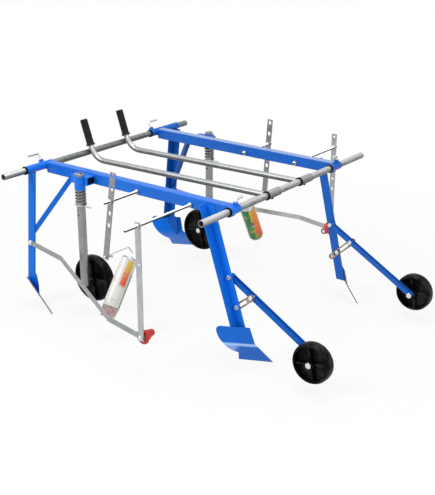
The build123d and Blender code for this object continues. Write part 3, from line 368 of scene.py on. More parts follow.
def galvanised_steel(name="galvanised_steel", tone=1.0, shine=0.4, polish=None, mottle=1.0, painted_shade_range=(-0.3, 0.5)):
    """Zinc coat with crystals about a centimetre across, runs and grey bloom, with a painted highlight on top
    and painted shade underneath, which fades out over a given range of looks; polish is an axis and the two
    places on it between which the surface turns bright."""
    grey = colour_of("galvanised", tone)
    polished, painted_top_highlight = (0.48, 0.49, 0.50), (0.66, 0.66, 0.67)
    finish = Finish(name)
    spangle = finish.cells(75.0) * 0.55 + finish.cells(160.0) * 0.45
    bloom = finish.noise(22.0, 5.0, 0.65)
    runs = finish.noise(1.0, 4.0, 0.6, finish.place(scale=(140, 140, 9)))
    dull, pale, bloomed = (shade(grey, 1 + change * mottle) for change in (-0.22, 0.12, -0.28))
    colour = finish.mix(dull, pale, spangle * 0.6 + runs * 0.4)
    colour = finish.mix(colour, bloomed, bloom.ramp(0.42, 0.75) * 0.7)
    look = finish.uplook(0.85, 0.45, 0.45)
    # Painted highlight on faces that look up, in patches of bloom; shine is its share
    lightened = look.ramp(0.72, 0.92) * (0.6 + bloom * 0.8)
    if polish:
        bright = finish.axis(polish[0]).ramp(*polish[1:])
        colour = finish.mix(colour, polished, bright * 0.8)
        # Where the surface is polished, the share of the painted highlight rises too
        shine = shine + bright * (0.9 - shine)
    colour = finish.mix(colour, painted_top_highlight, lightened * shine)
    # Painted shade on faces that look down
    painted_underside_shade = 1 - look.ramp(*painted_shade_range)
    colour = finish.mix(colour, shade(grey, 0.20), painted_underside_shade * 0.9)
    return finish.set(
        base_color=colour, metallic=0.85, roughness=0.36 - shine * 0.12 + spangle * 0.05 + bloom * 0.1,
        normal=finish.bump(bloom + spangle * 0.3, 0.10, 0.0007))


def zinc_plate(name="zinc_plate", tone=1.0):
    """Bright plated steel with faint handling marks, and painted shade that turns it black underneath."""
    zinc = colour_of("zinc", tone)
    finish = Finish(name)
    marks = finish.noise(120.0, 4.0, 0.6)
    colour = finish.mix(shade(zinc, 0.82), shade(zinc, 1.35), marks)
    # Painted shade: black on faces that look down
    painted_underside_shade = 1 - finish.uplook(0.83, 0.6, 0.2).ramp(-0.2, 0.5)
    colour = finish.mix(colour, shade(zinc, 0.05), painted_underside_shade * 0.95)
    return finish.set(base_color=colour, metallic=1.0, roughness=0.2 + marks * 0.16,
                      normal=finish.bump(marks, 0.08, 0.0004))


def rod_zinc(level):
    """Plated thread with a painted highlight above the middle of the rods and painted shade, near black, below it.
    """
    zinc = colour_of("zinc")
    finish = Finish("rod_zinc")
    marks = finish.noise(90.0, 4.0, 0.6)
    height = finish.axis("Z") - float(level) + (marks - 0.5) * 0.003
    # Painted shade below the middle of each rod and a painted highlight above it
    colour = finish.mix(shade(zinc, 0.02), shade(zinc, 1.4), height.ramp(0.0006, 0.0040))
    return finish.set(base_color=colour, metallic=0.9, roughness=0.25 + marks * 0.15, specular=0.2,
                      normal=finish.bump(marks, 0.08, 0.0004))


def yellow_zinc():
    """Yellow passivated plate that shifts in hue over a few centimetres."""
    pale = (0.46, 0.42, 0.35)
    finish = Finish("link_plate")
    drift = finish.noise(34.0, 4.0, 0.6)
    colour = finish.mix(colour_of("yellow_zinc", 0.6), pale, drift.ramp(0.35, 0.7))
    return finish.set(base_color=colour, metallic=0.9, roughness=0.3 + drift * 0.2,
                      normal=finish.bump(drift, 0.1, 0.0005))


def black_plastic():
    """Moulded plastic with a fine grain and dusty patches, scuffed grey along the middle of its own map,
    which is a wheel's tread, where the grey patches also stand in for a painted sheen, and glossy in patches."""
    black = colour_of("plastic")
    scuffed = (0.035, 0.035, 0.037)
    finish = Finish("wheel_plastic")
    grain = finish.noise(900.0, 2.0)
    dust = finish.noise(30.0, 5.0, 0.65)
    glossy = finish.noise(16.0, 3.0).ramp(0.50, 0.64)
    across = finish.around("Y")
    tread_scuff_and_sheen = across.band(0.36, 0.42, 0.58, 0.64)
    colour = finish.mix(black, shade(black, 3.2), dust.ramp(0.5, 0.85))
    # Grey patches on the tread: scuffs that also serve as a painted sheen
    colour = finish.mix(colour, scuffed, tread_scuff_and_sheen * dust.ramp(0.42, 0.62) * 0.8)
    return finish.set(base_color=colour, roughness=0.26 + dust * 0.2, specular=0.05,
                      coat_weight=glossy * 0.3, coat_roughness=0.22, normal=finish.bump(grain, 0.10, 0.0003))


def grip_rubber():
    """Matt rubber with a fine pebbled skin."""
    black = colour_of("rubber")
    finish = Finish("grip_rubber")
    pebbles = finish.noise(1400.0, 1.0)
    wear = finish.noise(45.0, 4.0)
    colour = finish.mix(black, shade(black, 2.6), wear.ramp(0.45, 0.8))
    return finish.set(base_color=colour, roughness=0.34 + wear * 0.2, specular=0.2,
                      normal=finish.bump(pebbles, 0.20, 0.0003))


def red_plastic():
    """Gloss moulding, a little paler where it has been rubbed, with painted shade underneath."""
    red = colour_of("red")
    pale = (0.74, 0.05, 0.035)
    finish = Finish("cone_plastic")
    lightened = finish.noise(90.0, 4.0, 0.6)
    colour = finish.mix(shade(red, 0.85), pale, lightened.ramp(0.5, 0.85))
    # Painted shade: deeper red on faces that look down
    colour = finish.mix(colour, shade(red, 0.4), 1 - finish.uplook(0.9, 0.2, 0.3).ramp(-0.6, 0.1))
    return finish.set(base_color=colour, roughness=0.3 + lightened * 0.2,
                      normal=finish.bump(lightened, 0.06, 0.0005))


def can_print(name, base, foot_line, bands, lines, flecks):
    """Lacquered can, bare above its shoulder and below the foot line. A band is (start, end, top, foot, edge,
    upper colour, lower colour), in turns, which run from the seam less one to the seam, and in shares of the
    height; a line is (height, slope, colour); a fleck is (tone, share, colour) and shows in the random cells
    of about that tone."""
    finish = Finish(name)
    shoulder, seam = 0.045, 0.6
    bright, rosy, brown, dark = (0.50, 0.52, 0.54), (0.56, 0.40, 0.36), (0.34, 0.24, 0.21), (0.06, 0.07, 0.05)
    turn, down = finish.around("X"), finish.around("Y")
    turn = turn - turn.ramp(seam, seam + 0.0001)
    wander = finish.noise(30.0, 3.0) - 0.5
    blots = finish.cells(62.0, finish.place(turn=(0.4, 0.7, 0.2)))
    colour = base
    for low, share, tint in flecks:
        inside = blots.band(low, low + 0.02, low + 0.1, low + 0.12)
        colour = finish.mix(colour, tint, inside * share)
    for start, end, top, foot, edge, upper, lower in bands:
        along = (turn + wander * edge).band(start, start + 0.012, end - 0.012, end)
        inside = along * (down + wander * edge).band(top, top + 0.02, foot - 0.02, foot)
        colour = finish.mix(colour, finish.mix(upper, lower, down.ramp(top, foot)), inside)
    for height, slope, tint in lines:
        gap = (down + turn * slope + wander * 0.06 - height).size()
        colour = finish.mix(colour, tint, (1 - gap.ramp(0.004, 0.009)) * 0.55)
    foot = down.ramp(foot_line, foot_line + 0.01)
    metal = 1 - down.ramp(shoulder, shoulder + 0.01) + foot
    stains = finish.noise(55.0, 4.0).ramp(0.4, 0.6)
    bare = finish.mix(bright, finish.mix(rosy, brown, stains), foot)
    colour = finish.mix(colour, bare, metal)
    ring = down.band(foot_line - 0.02, foot_line - 0.015, foot_line, foot_line + 0.005)
    colour = finish.mix(colour, dark, ring * 0.8)
    scratches = finish.noise(150.0, 5.0, 0.7)
    return finish.set(base_color=colour, metallic=metal * 0.7, roughness=0.24 + scratches * 0.15,
                      coat_weight=0.1, normal=finish.bump(scratches, 0.05, 0.0004))


def pale_print():
    """White can with a green back and a warm field on its front."""
    bands = (
        (-0.25, 0.004, 0.26, 0.83, 0.01, MINT, MINT),
        (-0.25, -0.018, 0.25, 0.83, 0.01, GREEN, GREEN),
        (0.010, 0.165, 0.050, 0.51, 0.04, CREAM, PINK),
        (0.024, 0.146, 0.058, 0.27, 0.03, YELLOW, AMBER),
        (0.030, 0.146, 0.25, 0.48, 0.03, ORANGE, RED),
        (0.44, 0.58, 0.12, 0.60, 0.03, YELLOW, ORANGE))
    lines = (
        (0.16, 0.5, MINT), (0.25, -0.6, MINT), (0.55, 0.5, PINK), (0.66, -0.35, PINK), (0.75, 0.25, MINT))
    flecks = ((0.10, 0.35, CREAM), (0.45, 0.25, MINT), (0.80, 0.25, PINK))
    return can_print("can_print_pale", base=WHITE, foot_line=0.845, bands=bands, lines=lines, flecks=flecks)


def green_print():
    """Green can with warm and leafy fields."""
    bands = (
        (-0.40, 0.130, 0.05, 0.94, 0.10, YELLOW, LEAF),
        (-0.40, 0.098, 0.05, 0.52, 0.07, AMBER, ORANGE),
        (-0.40, 0.105, 0.48, 0.90, 0.05, ORANGE, RED),
        (0.085, 0.165, 0.40, 0.50, 0.05, PLUM, PLUM),
        (0.085, 0.175, 0.49, 0.58, 0.05, SEA, MINT),
        (0.30, 0.34, 0.06, 0.92, 0.02, MINT, CREAM),
        (0.40, 0.55, 0.10, 0.88, 0.05, YELLOW, LEAF))
    lines = ((0.09, 0.3, CREAM),)
    flecks = ((0.10, 0.75, LEAF), (0.35, 0.35, YELLOW), (0.85, 0.35, DARK))
    return can_print("can_print_green", base=GREEN, foot_line=0.945, bands=bands, lines=lines, flecks=flecks)


def vertices(node):
    """A node's vertices as an array."""
    data = frame["nodes"][node].data.vertices
    points = np.empty(len(data) * 3)
    data.foreach_get("co", points)
    return points.reshape(-1, 3)


def triangles(node):
    """Numbers of the vertices of a node's triangles."""
    mesh = frame["nodes"][node].data
    mesh.calc_loop_triangles()
    corners = np.empty(len(mesh.loop_triangles) * 3, dtype=np.int64)
    mesh.loop_triangles.foreach_get("vertices", corners)
    return corners.reshape(-1, 3)


def solids(node):
    """Vertices of each separate solid of a node: labels spread over triangles until none changes."""
    merged, label_of = np.unique(np.round(vertices(node), 6), axis=0, return_inverse=True)
    faces = label_of.ravel()[triangles(node)]
    label = np.arange(len(merged))
    while True:
        lowest = label[faces].min(axis=1)
        spread = label.copy()
        np.minimum.at(spread, faces.ravel(), np.repeat(lowest, 3))
        if (spread == label).all():
            break
        label = spread
    return [merged[label == value] for value in np.unique(label)]


def middle_of(node):
    """Middle of a node's box."""
    return np.mean(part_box(node), axis=0)


def stub_mouth(side):
    """Points of a strut bracket, and those of them at the front end of its stub tube."""
    points = vertices(f"{side}_strut_bracket")
    return points, points[points[:, 0] > points[:, 0].max() - ON_FACE]


def hinge_sleeve(side):
    """Right and left end of a handle's hinge sleeve: the handle's lowest and highest Y around the tube."""
    points = vertices(f"{side}_handle")
    tube = middle_of("front_tube")
    near = np.hypot(points[:, 0] - tube[0], points[:, 2] - tube[2]) < HINGE_REACH
    return points[near, 1].min(), points[near, 1].max()


def unit(vectors):
    """A vector, or each row of an array, with length 1."""
    return vectors / np.linalg.norm(vectors, axis=-1, keepdims=True)


def square_to(axis):
    """Two unit vectors square to an axis and to each other."""
    lead = X if abs(axis[0]) < 0.9 else Z
    first = unit(lead - axis * (lead @ axis))
    return first, np.cross(axis, first)


def spindle(points, axis):
    """Low end on the axis, length and radius of a body of revolution about a direction."""
    axis = unit(axis)
    first, second = square_to(axis)
    along = points @ axis
    centre = sum(((points @ way).max() + (points @ way).min()) / 2 * way for way in (first, second))
    return centre + axis * along.min(), np.ptp(along), np.ptp(points @ first) / 2


def round_corners(corners, steps):
    """A closed outline whose corners (x, y, radius) are replaced by arcs tangent to both sides."""
    corners = np.asarray(corners, float)
    nearly_straight = pi / 2 - 1e-3
    outline = []
    for before, here, after in zip(np.roll(corners, 1, 0), corners, np.roll(corners, -1, 0)):
        corner, radius = here[:2], here[2]
        back, onward = unit(before[:2] - corner), unit(after[:2] - corner)
        half = np.arccos(np.clip(back @ onward, -1, 1)) / 2
        if radius <= 0 or half > nearly_straight:
            outline.append(corner[None])
            continue
        middle = corner + unit(back + onward) * radius / sin(half)
        first, last = (corner + way * radius / np.tan(half) - middle for way in (back, onward))
        share = np.linspace(0, 1, steps)[:, None]
        outline.append(middle + unit(first * (1 - share) + last * share) * radius)
    return np.vstack(outline)


def rounded_box(across, up, corner, steps):
    """Outline of a rectangle with round corners, from half its width and half its height."""
    signs = ((-1, -1), (1, -1), (1, 1), (-1, 1))
    return round_corners([(across * aside, up * rise, corner) for aside, rise in signs], steps)


def flat_ring(bore, radius, width, edge, inner_edge, steps):
    """Outline (radius, height) of a ring with a rectangular section and round edges."""
    return round_corners([(bore, 0, inner_edge), (radius, 0, edge), (radius, width, edge),
                          (bore, width, inner_edge)], steps)


def close_set(outline, gap):
    """A closed outline with points added on its long sides, spaced by the gap or somewhat more."""
    stretches = []
    for first, last in zip(outline, np.roll(outline, -1, 0)):
        count = max(1, int(np.linalg.norm(last - first) / gap))
        stretches.append(first + (last - first) * np.linspace(0, 1, count, endpoint=False)[:, None])
    return np.vstack(stretches)


def circle(first, second, steps):
    """Even angles round a circle, and the unit vector that two square ones give for each of them."""
    angle = np.linspace(0, 2 * pi, steps, endpoint=False)
    return angle, first * np.cos(angle)[:, None] + second * np.sin(angle)[:, None]


def rays(count, start):
    """Unit vectors square to Y, spread evenly round it from a start angle."""
    angle = start + np.arange(count) * 2 * pi / count
    return X * np.cos(angle)[:, None] + Z * np.sin(angle)[:, None]


def turned(profile, origin, axis, steps, ripple=None):
    """Points of a profile (radius, height) carried round an axis; ripple(angle, height) adds to a radius."""
    angle, ring = circle(*square_to(axis), steps)
    radius = np.repeat(profile[:, :1], steps, axis=1)
    if ripple is not None:
        radius = radius + ripple(angle[None, :], profile[:, 1:2])
    return origin + radius[..., None] * ring + profile[:, None, 1:2] * axis


def swept(path, radius, steps):
    """A round section carried along a path, square to it, its frame led by the direction that the path uses
    least."""
    ways = unit(np.gradient(path, axis=0))
    lead = np.linalg.svd(ways, full_matrices=True)[2][-1]
    firsts = unit(lead - ways * (ways @ lead)[:, None])
    ring = circle(firsts[:, None], np.cross(ways, firsts)[:, None], steps)[1]
    return path[:, None] + np.asarray(radius, float).reshape(-1, 1, 1) * ring


class Shape:
    """Grids of points gathered into one mesh, with the two surface parameters kept as a map."""

    def __init__(self):
        self.points = []
        self.quads = []
        self.map = []
        self.count = 0

    def grid(self, points, wrap_rows=False, levels=None):
        """Joins the neighbours of a rows-by-columns array of points with quads, the last column with the
        first too, and the last row where wrap_rows says so. The map has the share of the columns across and,
        down, the share of the rows or the level given for each row."""
        rows, columns = points.shape[:2]
        index = self.count + np.arange(rows * columns).reshape(rows, columns)
        if wrap_rows:
            index = np.vstack((index, index[:1]))
        index = np.hstack((index, index[:, :1]))
        self.quads.append(self.corners(index).reshape(-1, 4))
        down, across = (np.linspace(0, 1, count) for count in index.shape)
        if levels is not None:
            down = np.resize(levels, len(index))
        down, across = np.meshgrid(down, across, indexing="ij")
        self.map.append(np.stack((self.corners(across), self.corners(down)), axis=-1).reshape(-1, 2))
        self.points.append(points.reshape(-1, 3))
        self.count += rows * columns
        return self

    @staticmethod
    def corners(values):
        """Values at the four corners of each cell of a grid."""
        return np.stack((values[:-1, :-1], values[1:, :-1], values[1:, 1:], values[:-1, 1:]), axis=-1)

    def turn(self, outline, origin, axis, steps, ripple=None, levels=None):
        """Adds a closed outline (radius, height) carried round an axis."""
        return self.grid(turned(outline, origin, axis, steps, ripple), wrap_rows=True, levels=levels)

    def tube(self, rings):
        """Adds rings of points, with both ends drawn to their middles."""
        low, high = (np.broadcast_to(end.mean(axis=0), end.shape)[None] for end in (rings[0], rings[-1]))
        return self.grid(np.concatenate((low, rings, high)))

    def pin(self, radius, start, end, origin, axis, steps):
        """Adds a plain cylinder between two heights on an axis."""
        profile = np.array([[0, start], [radius, start], [radius, end], [0, end]])
        return self.grid(turned(profile, origin, axis, steps))

    def hexagon(self, origin, axis, width, height, chamfer, corner):
        """Adds a hex prism whose corners are turned off at both faces: its radius is the smaller of hexagon
        and cone."""
        angle, ring = circle(corner, np.cross(axis, corner), 48)
        apothem = width / 2
        face, clear = apothem * 0.96, apothem * 2
        edge = apothem / np.cos((angle + pi / 6) % (pi / 3) - pi / 6)
        heights = np.array([0, 0, chamfer, height - chamfer, height, height])
        limit = np.array([0, face, clear, clear, face, 0])
        radius = np.minimum(edge[None, :], limit[:, None])
        return self.grid(origin + radius[..., None] * ring + heights[:, None, None] * axis)

    def piece(self, name, finish, body, slot, replaces=(), sharp=38.0):
        """Makes the object, closes seams and poles, turns faces outward and lets it ride on its body."""
        mesh = bpy.data.meshes.new(name)
        mesh.from_pydata(np.vstack(self.points).tolist(), [], np.vstack(self.quads).tolist())
        layer = mesh.uv_layers.new(name="around")
        layer.data.foreach_set("uv", np.vstack(self.map).astype(np.float32).ravel())
        close = bmesh.new()
        close.from_mesh(mesh)
        bmesh.ops.remove_doubles(close, verts=close.verts, dist=2e-6)
        bmesh.ops.dissolve_degenerate(close, edges=close.edges, dist=1e-7)
        bmesh.ops.recalc_face_normals(close, faces=close.faces)
        close.to_mesh(mesh)
        close.free()
        mesh.shade_smooth()
        mesh.set_sharp_from_angle(angle=radians(sharp))
        mesh.materials.append(bpy.data.materials[finish])
        piece = bpy.data.objects.new(name, mesh)
        bpy.context.scene.collection.objects.link(piece)
        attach(piece, body)
        if replaces:
            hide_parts(*replaces)
        return piece


class PieceOperator:
    """What the operators share: they undo, and they need the scene's own settings."""
    bl_options = {"REGISTER", "UNDO"}

    @staticmethod
    def sizes():
        """The sizes that a user may change."""
        return bpy.context.scene.layer_sizes


class FILM_OT_frame_finish(PieceOperator, bpy.types.Operator):
    """Gives each solid its finish"""
    bl_idname = "film.frame_finish"
    bl_label = "Frame finish"

    def execute(self, context):
        common = {
            "galvanised": galvanised_steel(), "blue_paint": blue_enamel(), "black_plastic": black_plastic(),
            "rubber": grip_rubber(), "red_plastic": red_plastic(), "yellow_zinc": yellow_zinc(),
            "zinc": zinc_plate(), "spring_steel": zinc_plate("spring_wire", tone=0.13)}
        own = {**self.painted(), **self.coated()}
        for part in frame["record"]["subparts"]:
            piece = frame["nodes"][part["node"]]
            finish = own.get(part["node"]) or common.get(part["material_slot"], common["zinc"])
            piece.data.materials.clear()
            piece.data.materials.append(finish)
        return {"FINISHED"}

    def painted(self):
        """Finishes of the painted nodes that differ from plain blue enamel."""
        # Painted shade: the left side, away from the key lamp, gets a darker copy of the blue enamel, and its rear
        # leg and brace a darker one still
        deep = blue_enamel("deep_enamel", tone=SHADED_SIDE_TONE)
        shaded = blue_enamel("shaded_enamel", tone=0.68, gloss=0.12)
        # Painted light: the right sleeves, front leg and strut bracket get a lighter copy of the blue enamel
        lit_side = blue_enamel("fresh_enamel", tone=1.18)
        satin = blue_enamel("satin_enamel", tone=1.04, gloss=0.1)
        own = {"left_rail": faded_enamel(), "left_wheel_arm": deep,
               "right_wheel_arm": blue_enamel("arm_enamel", tone=0.84, gloss=0.08),
               "right_rear_plough": worn_enamel("worn_enamel", wear=0.85, gloss=GLOSS, back=-1),
               "left_rear_plough": worn_enamel("kept_enamel", wear=0.3, gloss=0.08, back=1)}
        for side, front, rear in (("left", deep, shaded), ("right", lit_side, satin)):
            own.update({f"{side}_{name}": front for name in ("sleeves", "front_leg", "strut_bracket")})
            own.update({f"{side}_{name}": rear for name in ("rear_leg", "rear_brace")})
            own[f"{side}_front_plough"] = self.plough_finish(f"{side}_front_plough", -SIDES[side])
        return own

    def coated(self):
        """Finishes of the galvanised nodes that differ from plain galvanised steel."""
        # Looks over which the painted shade under the tubes fades out; shine sets each finish's share of the
        # painted highlight
        painted_shade_range = (0.0, 0.7)
        pale_bar = galvanised_steel("pale_bar", tone=1.28, shine=0.3)
        strut_tube = galvanised_steel("strut_tube", tone=0.82, shine=0.05)
        handle_tube = galvanised_steel(
            "handle_tube", tone=0.68, shine=0.35, polish=("X", -0.455, -0.475), mottle=2.2, painted_shade_range=painted_shade_range)
        rear_tube = galvanised_steel(
            "weathered_tube", tone=0.64, shine=0.05, polish=("Y", -0.43, -0.45), mottle=2.0, painted_shade_range=painted_shade_range)
        front_tube = galvanised_steel(
            "bright_tube", tone=0.92, shine=0.70, polish=("Y", -0.42, -0.46), mottle=2.4, painted_shade_range=painted_shade_range)
        own = {"rear_tube": rear_tube, "front_tube": front_tube, "left_film_arm": pale_bar,
               "right_film_arm": galvanised_steel("flat_bar", tone=0.95, shine=0.15)}
        for side in SIDES:
            own[f"{side}_hanger"] = pale_bar
            own[f"{side}_strut"] = own[f"{side}_roller_strap"] = strut_tube
            own[f"{side}_handle"] = handle_tube
        return own

    def plough_finish(self, node, back):
        """Finds the two faces of a folded plate, and the line where they meet, from the normals that look
        forward and cover most area; the share is the one of the two that looks up more."""
        least_forward, behind_tip = 0.3, 0.15
        points = vertices(node)
        first, second, third = np.moveaxis(points[triangles(node)], 1, 0)
        square = np.cross(second - first, third - first)
        normals = unit(square)
        front = normals[:, 0] > least_forward
        faces, group = np.unique(np.round(normals[front], 3), axis=0, return_inverse=True)
        area = np.bincount(group.ravel(), np.linalg.norm(square[front], axis=1))
        board, share = sorted(faces[np.argsort(area)[-2:]], key=lambda face: face[2])
        along = unit(np.cross(board, share))
        along = along * np.sign(along[0])
        below = np.cross(share, along)
        below = below * -np.sign(below[2])
        levels = [(points @ board).max(), (points @ share).max(), (points @ along).max() - behind_tip]
        fold = np.linalg.solve(np.stack((board, share, along)), np.array(levels))
        return folded_enamel(f"{node}_enamel", along, below, fold, back)


class FILM_OT_wheels(PieceOperator, bpy.types.Operator):
    """Builds the spoked plastic wheels"""
    bl_idname = "film.wheels"
    bl_label = "Wheels"

    def execute(self, context):
        for side in SIDES:
            self.wheel(f"{side}_front_wheel", f"{side}_gauge_wheel", spoke_turn=0.19)
            self.wheel(f"{side}_rear_wheel", f"{side}_press_wheel", spoke_turn=0.13)
        return {"FINISHED"}

    def wheel(self, node, body, spoke_turn):
        """Profile of tread, rim, web and hub turned about the axle, its upper half the mirror of its lower
        one, with four cross spokes through the web."""
        low, length, radius = spindle(vertices(node), Y)
        centre = low + Y * length / 2
        hub_half = length / 2
        half = hub_half - 2 * MM
        rim, web, bore, hub = 15 * MM, 5 * MM, 6.08 * MM, 21 * MM
        inner, tread_half = radius - rim, half * 0.52
        lower = np.array([
            (bore, -hub_half, 0.5 * MM), (hub - 3 * MM, -hub_half, 1.5 * MM), (hub, -web, 3 * MM),
            (inner - 1 * MM, -web, 3 * MM), (inner + 1.5 * MM, -half + 1 * MM, 1 * MM),
            (inner + 3 * MM, -half, 1.5 * MM), (radius - 5 * MM, -half, 5 * MM),
            (radius, -tread_half, 14 * MM)])
        outline = round_corners(np.vstack((lower, lower[::-1] * (1, -1, 1))), 6)
        shape = Shape().turn(outline, centre, Y, steps=96)
        section = rounded_box(across=3 * MM, up=half - 5 * MM, corner=1.6 * MM, steps=4)
        reach = np.array([hub - 4 * MM, inner + 4 * MM])
        for way in rays(4, spoke_turn):
            ring = section[:, :1] * np.cross(way, Y) + section[:, 1:] * Y
            shape.tube(centre + ring[None] + reach[:, None, None] * way)
        shape.piece(f"{node}_moulding", "wheel_plastic", body, "black_plastic", (node,))


class FILM_OT_grips(PieceOperator, bpy.types.Operator):
    """Builds the fluted rubber grips"""
    bl_idname = "film.grips"
    bl_label = "Grips"

    def execute(self, context):
        rake = self.sizes().grip_rake
        for side in SIDES:
            self.grip(side, np.array([-cos(rake), 0, sin(rake)]))
        return {"FINISHED"}

    def grip(self, side, axis):
        """Profile of collar, body and closed end turned about the handle's end, with flutes along it."""
        sizes = self.sizes()
        node = f"{side}_grip"
        origin, length, collar = spindle(vertices(node), axis)
        body, tube, wall, centre = collar - 4 * MM, 12.6 * MM, 5 * MM, 0.01 * MM
        shoulder, stop, fade = 14 * MM, length - 12 * MM, 8 * MM
        outline = close_set(round_corners([
            (tube, 0, 0), (collar, 0, 1.6 * MM), (collar, 5 * MM, 1.6 * MM), (body + 1 * MM, 8 * MM, 2 * MM),
            (body, shoulder, 3 * MM), (body, length * 0.55, 0), (body, length, 5 * MM), (centre, length, 0),
            (centre, length - wall, 0), (tube, length - wall, 0)], 6), 4 * MM)
        outside = outline[:, :1] > tube + 1 * MM

        def flutes(angle, height):
            """Cosine grooves on the outside that fade out towards both ends of the grip."""
            share = np.clip((height - shoulder) / fade, 0, 1) * np.clip((stop - height) / fade, 0, 1)
            groove = (0.5 + 0.5 * np.cos(sizes.grip_flutes * angle)) ** 2
            return -sizes.flute_depth * share * groove * outside

        shape = Shape().turn(outline, origin, axis, steps=sizes.grip_flutes * 8, ripple=flutes)
        shape.piece(f"{node}_rubber", "grip_rubber", f"{side}_handle_bar", "rubber", (node,))


class FILM_OT_springs(PieceOperator, bpy.types.Operator):
    """Winds the strut springs"""
    bl_idname = "film.springs"
    bl_label = "Springs"

    def execute(self, context):
        for side in SIDES:
            self.spring(side)
        return {"FINISHED"}

    def spring(self, side):
        """Round wire along a helix that keeps its radius and rises evenly, with its top held by the frame."""
        wire, turns, past, travel = 4.6 * MM, 4.25, 0.06, 30 * MM
        node = f"{side}_spring"
        origin, length, outer = spindle(vertices(node), Z)
        mean = outer - wire / 2
        angle = np.linspace(-past, turns + past, 240) * 2 * pi
        rise = np.linspace(wire / 2, length - wire / 2, len(angle))
        path = origin + np.stack((mean * np.cos(angle), mean * np.sin(angle), rise), axis=1)
        shape = Shape().tube(swept(path, wire / 2, steps=14))
        piece = shape.piece(f"{node}_coil", "spring_wire", f"{side}_side", "spring_steel", (node,))
        top = origin + Z * length
        1 - travel / length
        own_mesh(piece)


class FILM_OT_rollers(PieceOperator, bpy.types.Operator):
    """Builds the printed can rollers"""
    bl_idname = "film.rollers"
    bl_label = "Press rollers"

    def execute(self, context):
        self.roller("right", pale_print().name, foot=40 * MM)
        self.roller("left", green_print().name, foot=13 * MM)
        return {"FINISHED"}

    def roller(self, side, finish, foot):
        """Profile of neck, rolled rim, shoulder, wall, narrowed foot and dished base turned about the wire,
        with the print laid by turns about the axis across and by distance from the neck down."""
        node = f"{side}_roller"
        axis = np.array(JOINTS[f"{side}_roller_spin"]["axis"])
        origin, length, radius = spindle(vertices(node), axis)
        neck, bore, base = 12 * MM, 2.33 * MM, radius - 6 * MM
        outline = round_corners([
            (bore, 0, 0), (neck - 1.5 * MM, 0, 0.6 * MM), (neck, 1 * MM, 0.8 * MM),
            (neck - 1 * MM, 5 * MM, 1 * MM), (radius - 9 * MM, 6 * MM, 1.5 * MM),
            (radius - 7 * MM, 3.6 * MM, 1 * MM), (radius - 4.6 * MM, 3.6 * MM, 1.2 * MM),
            (radius - 4.2 * MM, 6 * MM, 1 * MM), (radius, 12 * MM, 3 * MM), (radius, length - foot, 5 * MM),
            (base, length - 1.5 * MM, 1 * MM), (base, length, 0.7 * MM), (base - 2 * MM, length, 0.7 * MM),
            (base - 4 * MM, length - 3.5 * MM, 2 * MM), (base - 14 * MM, length - 8 * MM, 10 * MM),
            (bore, length - 8.4 * MM, 0)], 6)
        shape = Shape().turn(outline, origin, axis, steps=72, levels=outline[:, 1] / length)
        shape.piece(f"{node}_can", finish, f"{side}_press_roller", "printed_can", (node,))


class FILM_OT_cones(PieceOperator, bpy.types.Operator):
    """Builds the red cone plugs"""
    bl_idname = "film.cones"
    bl_label = "Cone plugs"

    def execute(self, context):
        for side, out in SIDES.items():
            self.cone(side, -out * Y)
        return {"FINISHED"}

    def cone(self, side, inward):
        """Profile of lip, hollow flank and recessed tip turned about the bolt, with six ribs up the flank."""
        node = f"{side}_cone"
        origin, length, radius = spindle(vertices(node), inward)
        bore, tip, lip, nut = 5.08 * MM, 13.5 * MM, 8 * MM, 11 * MM
        waist, rib_top, recess = length * 0.58, length * 0.55, length - 9 * MM
        outline = round_corners([
            (bore, 0, 0), (radius - 1.5 * MM, 0, 1 * MM), (radius, 2 * MM, 2 * MM),
            (radius, lip - 2 * MM, 2 * MM), (radius - 4 * MM, lip, 2 * MM), (tip + 4.5 * MM, waist, 30 * MM),
            (tip + 0.6 * MM, length - 6 * MM, 8 * MM), (tip, length, 2.2 * MM), (nut, length, 0.8 * MM),
            (nut, recess, 1 * MM), (bore, recess, 0.3 * MM)], 8)
        shape = Shape().turn(outline, origin, inward, steps=72)
        heights = np.linspace(lip - 1 * MM, rib_top, 12)
        reach = np.interp(heights, (lip, waist), (radius - 4.4 * MM, tip + 4.2 * MM))
        ribs, rib_turn, rib_radius = 6, 0.3, 1.3 * MM
        for way in rays(ribs, rib_turn):
            path = origin + heights[:, None] * inward + reach[:, None] * way
            shape.tube(swept(path, rib_radius, steps=8))
        shape.piece(f"{node}_plug", "cone_plastic", f"{side}_cone_plug", "red_plastic", (node,))


class FILM_OT_rods(PieceOperator, bpy.types.Operator):
    """Cuts the threads of the cross rods"""
    bl_idname = "film.rods"
    bl_label = "Threaded rods"

    def execute(self, context):
        pitch, depth = self.sizes().thread_pitch, self.sizes().thread_depth
        rows_per_turn, end_taper = 5, 1.5 * MM
        finish = rod_zinc(middle_of("right_rods")[2])

        def thread(angle, height):
            """V groove that follows a helix."""
            phase = (height / pitch - angle / (2 * pi)) % 1.0
            return -depth * np.abs(2 * phase - 1)

        for side in SIDES:
            node = f"{side}_rods"
            shape = Shape()
            for rod in solids(node):
                origin, length, radius = spindle(rod, Y)
                heights = np.linspace(0, length, int(length / pitch * rows_per_turn))
                taper = np.minimum(np.minimum(heights, length - heights), end_taper) - end_taper
                profile = np.stack((radius + taper, heights), axis=1)
                shape.tube(turned(profile, origin, Y, steps=20, ripple=thread))
            shape.piece(f"{node}_thread", finish.name, f"{side}_side", "zinc", (node,), sharp=60.0)
        return {"FINISHED"}


